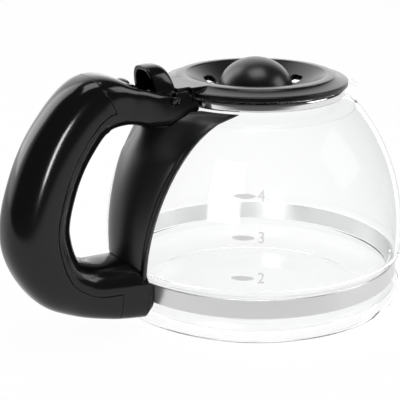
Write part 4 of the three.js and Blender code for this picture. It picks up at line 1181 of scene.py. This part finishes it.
@dataclass
class SpineGuard:
    """Crowned strip with a raised lip at each edge, between the handle and the glass."""

    bowl: GlassBowl
    handle: Handle
    foot_width: float = 25.0
    top_width: float = 45.0
    flare: float = 5.0
    flare_power: float = 12.0
    foot_z: float = 20.5
    top_z: float = 85.4
    crown: float = 4.0
    top_crown: float = 8.5
    crown_power: float = 1.5
    flange: float = 2.4
    flange_thickness: float = 1.5
    flange_sink: float = 0.35
    flange_share: float = 0.7
    arm_share: float = 0.3
    ridge: Pair = (0.8, 4.0)
    ridge_span: Pair = (0.72, 0.95)

    def _ring(self, z: float, grow: float) -> Ring:
        """Returns the guard's section at a height, larger by grow."""
        share = (z - self.foot_z) / (self.top_z - self.foot_z)
        flare = self.flare * max(0.0, share) ** self.flare_power
        half = lerp(self.foot_width, self.top_width, share) / 2 + flare + grow
        outside = self.bowl.outside(z)
        back = outside + 2 * self.bowl.gap
        lip = back + self.flange_thickness + grow
        bed_radius = lip - self.flange_sink * self.flange_thickness
        crown = lerp(self.crown, self.top_crown, max(0.0, share) ** self.crown_power)
        sharp = lerp(*self.ridge, smoothstep(share, *self.ridge_span))
        edge, bed = half / outside, (half - self.flange) / outside
        at = lambda radius, turn: (-radius * math.cos(turn), radius * math.sin(turn), z)
        shoulder = lerp(edge, bed, self.flange_share)
        rise = [(edge, -0.25), (lerp(edge, shoulder, 0.18), 0.0), (lerp(edge, shoulder, 0.85), 0.0),
                (shoulder, -0.12)]
        loop = [at(back - grow, lerp(-edge, edge, i / 20)) for i in range(21)]
        loop += [at(lip + down, turn) for turn, down in rise]
        for i in range(41):
            turn = lerp(bed, -bed, i / 40)
            arch = max(0.0, math.cos(turn / bed * QUARTER)) ** sharp
            loop.append(at(bed_radius + crown * arch, turn))
        loop += [at(lip + down, -turn) for turn, down in reversed(rise)]
        return np.array(loop)

    def _loft(self, name: str, grow: float) -> Piece:
        """Skins the guard from the foot to the neck, larger by grow."""
        bowl = self.bowl
        levels = [lerp(self.foot_z - grow, bowl.shoulder_z, i / 48) for i in range(49)]
        levels += [lerp(bowl.shoulder_z, bowl.neck_foot_z, i / 4) for i in range(1, 5)]
        return loft(name, [self._ring(z, grow) for z in (*levels, self.top_z)])

    def foot_room(self) -> Piece:
        """Returns the room that the guard takes in the handle's foot."""
        reach = self.handle.reach
        below = block("below", (-reach, -reach, 0.0), (0.0, reach, self.handle.grip_z))
        return carve(self._loft("guard_room", self.bowl.gap), below, Cut.KEEP)

    def build(self) -> None:
        """Makes the guard and sets it between the handle and the glass."""
        guard, gap = self._loft("spine_guard_skin", 0.0), self.bowl.gap
        carve(guard, self.handle.loop("arm_room", -gap, 0.0, self.arm_share), Cut.TAKE)
        carve(guard, self.handle.collar(gap, self.top_crown), Cut.TAKE)
        smooth(guard, self.handle.sharp_angle)
        place(guard, Body.JUG, "black_plastic", GUARD_BLACK, "spine_guard")


@dataclass
class Lid:
    """Drip-through lid with its dome, tongue, thumb lever and pin."""

    bowl: GlassBowl
    handle: Handle
    rim_radius: float = 32.4
    bowl_radius: float = 28.3
    floor_radius: float = 17.4
    top_z: float = 94.5
    floor_z: float = 86.8
    lip_thickness: float = 2.6
    lip_gap: float = 0.8
    wall: float = 1.8
    skirt_depth: float = 3.6
    chamfer_bulge: float = 0.9
    hole_radius: float = 2.1
    hole_length: float = 2.8
    hole_turn: float = 2.06
    hole_share: float = 0.42
    dome_radius: float = 15.4
    dome_height: float = 13.6
    dome_wall: float = 1.6
    stem_radius: float = 5.0
    snap: float = 0.8
    tongue_width: float = 15.6
    tongue_drop: float = 0.2
    web_width: float = 19.6
    web_back: float = 37.6
    lever_front: float = 43.4
    lever_crest: float = 5.4
    lever_arch: float = 2.9
    lever_side: float = 3.0
    lever_crown: float = 2.5
    lever_droop: float = 0.4
    lever_nose: float = 0.2
    lever_width: float = 16.0
    lever_wall: float = 1.5
    gap: float = 0.3

    def _disc(self) -> Piece:
        """Turns the lid's disc, bowl and skirt."""
        lip_low = self.bowl.rim_z + self.lip_gap
        lip_high = self.bowl.rim_z + self.gap + self.lip_thickness
        lip = self.handle.lid_lip_radius
        skirt_out = self.bowl.neck_radius - self.bowl.wall - self.gap
        skirt_in = skirt_out - self.wall
        skirt = self.bowl.rim_z + self.gap - self.skirt_depth
        low = self.floor_z - self.wall
        stem = self.stem_radius + self.gap
        rim, inner, floor, top = self.rim_radius, self.bowl_radius, self.floor_radius, self.top_z
        a = np.array([rim, top - 0.6])
        b = np.array([rim + self.chamfer_bulge, lip_high + self.chamfer_bulge])
        c = np.array([lip - 0.4, lip_high])
        chamfer = [tuple((1 - t) ** 2 * a + 2 * t * (1 - t) * b + t * t * c)
                   for t in np.linspace(1.0, 0.0, 12)]
        cone = [(lerp(inner, floor, t), lerp(top - 0.4, self.floor_z + 0.3, t))
                for t in np.linspace(0.0, 1.0, 8)]
        outline = [
            (stem, low), (floor + 0.6, low), (inner + 0.8, top - self.wall), (skirt_in, top - self.wall),
            (skirt_in, skirt + 0.5), (skirt_in + 0.4, skirt), (skirt_out - 0.5, skirt),
            (skirt_out, skirt + 0.6), (skirt_out, lip_low), (lip - 0.3, lip_low), (lip, lip_low + 0.3),
            (lip, lip_high - 0.3), *chamfer, (rim - 0.15, top - 0.32), (rim - 0.5, top - 0.2),
            (inner + 0.4, top), (inner + 0.12, top - 0.12), *cone, (floor - 0.8, self.floor_z),
            (stem, self.floor_z),
        ]
        return lathe("lid_skin", outline, 200, True)

    def _opening(self, turn: float) -> Piece:
        """Makes the tool for one of the drip openings."""
        middle = lerp(self.dome_radius, self.bowl_radius, self.hole_share)
        radius, half = self.hole_radius, self.hole_length / 2
        upper = [(radius * math.cos(t), half + radius * math.sin(t)) for t in np.linspace(0.0, math.pi, 17)]
        outline = upper + [(-x, -y) for x, y in upper]
        spin = Matrix.Rotation(turn, 3, "Z")
        return loft("opening", [np.array([spin @ Vector((middle + x, y, z)) for x, y in outline])
                                for z in (self.floor_z - 2 * self.wall, self.top_z)])

    def _body(self) -> Piece:
        """Makes the lid with its tongue, knuckle and openings."""
        hinge = self.handle
        disc = self._disc()
        low, top = self.bowl.rim_z + 2 * self.gap, self.top_z - self.tongue_drop
        half = self.tongue_width / 2
        slim = self.lever_width / 2 - self.lever_wall - self.gap
        root = self.rim_radius - 2
        steps = (("wide", self.lever_front - self.gap, half), ("slim", hinge.hinge_back, slim),
                 ("web", self.web_back, self.web_width / 2))
        for name, back, side in steps:
            carve(disc, block(name, (-back, -side, low), (-root, side, top)), Cut.JOIN)
        carve(disc, hinge.hinge_rod("knuckle", hinge.knuckle, slim), Cut.JOIN)
        for turn in (0.0, self.hole_turn, -self.hole_turn):
            carve(disc, self._opening(turn), Cut.TAKE)
        return carve(disc, hinge.hinge_rod("bore", hinge.pin_radius + self.gap, half), Cut.TAKE)

    def _dome(self) -> Piece:
        """Turns the dome and its stem."""
        rest = self.floor_z + self.gap
        arc = lambda radius, height, steps: [
            (radius * math.cos(t), rest + height * math.sin(t)) for t in np.linspace(0.0, QUARTER, steps)]
        low = self.floor_z - self.wall - self.gap
        stem, snap, foot = self.stem_radius, self.stem_radius + self.snap, low - 1.4
        stem_in = stem - self.dome_wall
        height, hollow = self.dome_height - self.dome_wall, self.dome_radius - self.dome_wall
        stem_top = rest + height * math.sqrt(1 - (stem / hollow) ** 2)
        outer = arc(self.dome_radius, self.dome_height, 40)
        inside = [p for p in arc(hollow, height, 24) if p[0] > stem + 0.5]
        outline = [
            (self.dome_radius - 0.3, rest), *outer[1:-1], (0.0, outer[-1][1]), (0.0, stem_top),
            (stem_in, stem_top), (stem_in, foot), (stem, foot), (snap, low - 0.4), (snap, low), (stem, low),
            (stem, stem_top), *reversed(inside),
        ]
        return lathe("lid_dome_skin", outline, 128, True)

    def _hood(self, name: str, inset: float, start: float, end: float) -> Piece:
        """Skins the thumb lever's hood, smaller by the inset."""
        hinge = self.handle
        crest = hinge.hinge_back + self.lever_crest
        half, low = self.lever_width / 2 - inset, hinge.hinge_z - inset
        turn = np.linspace(math.pi, 0.0, 41)
        sides = half * signed_power(np.cos(turn), self.lever_side)
        crown = np.abs(np.sin(turn)) ** (2 / self.lever_crown)
        rings = []
        for i in range(41):
            back = lerp(start, end, 1.0 - math.cos(i / 40 * QUARTER))
            fall = max(0.0, (crest - back) / (crest - self.lever_front))
            droop = max(0.0, (back - crest) / (hinge.lever_back - crest))
            arch = max(self.lever_nose, max(0.0, 1.0 - fall**self.lever_arch) ** (1.0 / self.lever_arch))
            top = (hinge.lever_top - hinge.hinge_z) * arch - self.lever_droop * droop * droop - inset
            across = np.concatenate([[-half], sides, [half]])
            height = np.concatenate([[low], hinge.hinge_z + top * crown, [low]])
            rings.append(np.stack([np.full(len(across), -back), across, height], 1))
        return loft(name, rings)

    def _lever(self) -> Piece:
        """Makes the hollow thumb lever with its ears round the pin."""
        hinge = self.handle
        half, wall = self.lever_width / 2, self.lever_wall
        slim = half - wall
        back, low = -hinge.lever_back, hinge.hinge_z - hinge.knuckle
        lever = self._hood("thumb_lever_skin", 0.0, self.lever_front, hinge.lever_back)
        carve(lever, self._hood("hollow", wall, self.lever_front + 2 * wall, hinge.lever_back + 1), Cut.TAKE)
        carve(lever, hinge.hinge_rod("ear", hinge.knuckle, half), Cut.JOIN)
        tongue_top = self.top_z - self.tongue_drop + self.gap
        room = block("tongue_room", (back - 1, -slim, low - 1), (-self.lever_front + 1, slim, tongue_top))
        carve(lever, room, Cut.TAKE)
        skirt, top = hinge.hinge_z + hinge.lever_skirt, hinge.lever_top + 1
        ear = -hinge.hinge_back - hinge.knuckle
        mouth = np.array([(back, top), (back + hinge.lever_slant, skirt), (ear, skirt), (ear, low),
                          (back - 1, low), (back - 1, top)])
        carve(lever, prism("mouth", mouth, -2 * half, 2 * half), Cut.TAKE)
        return carve(lever, hinge.hinge_rod("bore", hinge.pin_radius + self.gap, 2 * half), Cut.TAKE)

    def _pin(self) -> Piece:
        """Turns the hinge pin with rounded ends."""
        half, radius = self.handle.pin_length / 2, self.handle.pin_radius
        end = [(radius, half - 0.35), (radius - 0.1, half - 0.1), (radius - 0.35, half), (0.0, half)]
        pin = lathe("hinge_pin_skin", [(r, -z) for r, z in reversed(end)] + end, 48, False)
        shift = Matrix.Translation((-self.handle.hinge_back * MM, 0.0, self.handle.hinge_z * MM))
        pin.data.transform(shift @ Matrix.Rotation(QUARTER, 4, "X"))
        return pin

    def build(self) -> None:
        """Makes the lid, dome, lever and pin, and sets them on their bodies."""
        lid, dome, lever, pin = self._body(), self._dome(), self._lever(), self._pin()
        for piece, angle in ((lid, 28.0), (dome, 45.0), (lever, 32.0), (pin, 30.0)):
            smooth(piece, angle)
        place(lid, Body.LID, "lid_plastic", LID_BLACK, "lid")
        place(dome, Body.LID, "dome_plastic", DOME_BLACK, "lid_dome")
        place(lever, Body.LID, "lid_plastic", HANDLE_BLACK, "thumb_lever")
        place(pin, Body.JUG, "zinc_steel", PIN_STEEL, "hinge_pin")


@dataclass(frozen=True)
class Softbox:
    """A rectangular studio lamp that faces the carafe."""

    name: str
    place: Triple
    width: float
    height: float
    radiance: float
    lights: tuple[str, ...] = ()

    def build(self, aim: Vector) -> None:
        """Adds the lamp, turned towards a point, with its own list of pieces where it has one."""
        lamp = bpy.data.lights.new(self.name, "AREA")
        lamp.shape = "RECTANGLE"
        lamp.size = self.width
        lamp.size_y = self.height
        lamp.energy = self.radiance * math.pi * self.width * self.height
        holder = bpy.data.objects.new(self.name, lamp)
        holder.location = self.place
        holder.rotation_euler = (aim - Vector(self.place)).to_track_quat("-Z", "Y").to_euler()
        holder.visible_camera = False
        if self.lights:
            lit = bpy.data.collections.new(self.name)
            for name in self.lights:
                lit.objects.link(bpy.data.objects[name])
            holder.light_linking.receiver_collection = lit
        bpy.context.scene.collection.objects.link(holder)


@dataclass
class Studio:
    """White floor, soft lamps and the photograph's camera."""

    camera_place: Triple = (-0.27142, -0.36018, 0.1862)
    camera_forward: Triple = (0.53348, 0.78726, -0.30922)
    lens: float = 101.06
    sensor: float = 36.0
    aim: Triple = (0.0, 0.0, 0.05)
    floor_side: float = 4000.0
    floor_z: float = -0.2
    floor_colour: Triple = (0.9, 0.9, 0.9)
    floor_roughness: float = 0.9
    floor_glow: float = 0.965
    floor_fade: Pair = (-0.29, -0.17)
    floor_gloss: Pair = (0.09, 0.88)
    ambient: float = 0.4
    room_sweep: Pair = (0.25, 0.75)
    room_gloss: Pair = (0.08, 1.8)
    backdrop_way: Triple = (0.561, 0.828, 0.0)
    bright_way: Triple = (0.244, 0.97, 0.0)
    lamps: tuple[Softbox, ...] = (
        Softbox("left_window", (-0.74, -0.43, 0.47), 0.42, 0.6, 50.0, ("glass_bowl",)),
        Softbox("strip_lamp", (-0.29, -1.165, 0.22), 0.11, 0.42, 32.0,
                ("handle_frame_skin", "grip_cover_skin", "spine_guard_skin")),
        Softbox("side_window", (0.7, -0.57, 0.52), 0.5, 0.45, 3.6),
        Softbox("back_window", (-0.45, 0.89, 0.7), 0.55, 1.2, 2.4),
        Softbox("top_window", (-0.05, -0.16, 1.1), 0.6, 0.55, 4.2),
    )

    def _floor(self) -> None:
        """Lays the white floor, which keeps a faint shadow.

        Rays that light the part see plain paint. Mirrored rays see a glow that fades towards the unlit
        end of the room, and all other rays see the full glow.
        """
        side, low = self.floor_side, self.floor_z
        corners = np.array([(-side, -side, low), (side, -side, low), (side, side, low), (-side, side, low)])
        floor = make_object("studio_floor", corners, [(0, 1, 2, 3)])
        made = bpy.data.materials.new("studio_floor_white")
        made.use_nodes = True
        build = Shader(made.node_tree)
        paint = made.node_tree.nodes["Principled BSDF"]
        build.feed(paint, {"Base Color": (*self.floor_colour, 1.0), "Roughness": self.floor_roughness})
        rays = build.node("ShaderNodeLightPath").outputs
        camera, glossy, through = (rays[f"Is {kind} Ray"] for kind in ("Camera", "Glossy", "Transmission"))
        spot = build.node("ShaderNodeTexCoord").outputs["Object"]
        fade = build.ramp(spot, self.backdrop_way, self.floor_fade, self.floor_gloss)
        mirrored = build.math("SUBTRACT", glossy, through, clamp=True)
        glow = build.node("ShaderNodeEmission", {"Strength": build.mix(mirrored, 1.0, fade)})
        seen = build.math("MAXIMUM", build.math("MAXIMUM", camera, through), glossy)
        share = build.math("MULTIPLY", seen, self.floor_glow)
        both = build.node("ShaderNodeMixShader", {0: share, 1: paint.outputs[0], 2: glow.outputs[0]})
        build.feed(made.node_tree.nodes["Material Output"], {"Surface": both.outputs[0]})
        floor.data.materials.append(made)

    def _world(self) -> None:
        """Sets a white background, a quieter ambient light and a room that shines on one side in gloss."""
        world = bpy.data.worlds.new("studio_white")
        bpy.context.scene.world = world
        world.use_nodes = True
        build = Shader(world.node_tree)
        rays = build.node("ShaderNodeLightPath").outputs
        way = build.node("ShaderNodeTexCoord").outputs["Generated"]
        sweep = build.ramp(way, self.bright_way, self.room_sweep, self.room_gloss)
        room = build.mix(rays["Is Glossy Ray"], self.ambient, sweep)
        seen = build.math("MAXIMUM", rays["Is Camera Ray"], rays["Is Transmission Ray"])
        build.feed(world.node_tree.nodes["Background"],
                   {"Color": (1.0, 1.0, 1.0, 1.0), "Strength": build.mix(seen, room, 1.0)})

    def _camera(self) -> None:
        """Sets up the photograph's view."""
        camera = bpy.data.cameras.new("photo_camera")
        camera.lens = self.lens
        camera.sensor_width = self.sensor
        holder = bpy.data.objects.new("photo_camera", camera)
        holder.location = self.camera_place
        holder.rotation_euler = Vector(self.camera_forward).to_track_quat("-Z", "Y").to_euler()
        bpy.context.scene.collection.objects.link(holder)
        bpy.context.scene.camera = holder

    def build(self) -> None:
        """Builds the floor, world, lamps and camera."""
        self._floor()
        self._world()
        for lamp in self.lamps:
            lamp.build(Vector(self.aim))
        self._camera()
        bpy.context.scene.view_settings.view_transform = "Standard"
        LOG.info("studio has %d lamps", len(self.lamps))


def dress_fasteners(frame: dict) -> None:
    """Gives the clamp screws and nuts their zinc finish."""
    for name in ("base_band_screw", "base_band_nut", "neck_band_screw", "neck_band_nut"):
        ZINC.wear(frame["nodes"][name])
        LOG.info("%s keeps its solid", name)


def main() -> None:
    """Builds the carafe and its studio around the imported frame."""
    logging.basicConfig(level=logging.INFO, format="%(name)s: %(message)s")
    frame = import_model()
    bowl = GlassBowl()
    bowl.build()
    LevelMarks(bowl).build()
    SteelBands(bowl).build()
    handle = Handle(bowl)
    guard = SpineGuard(bowl, handle)
    handle.build(guard)
    guard.build()
    Lid(bowl, handle).build()
    dress_fasteners(frame)
    Studio().build()


if __name__ == "__main__":
    main()
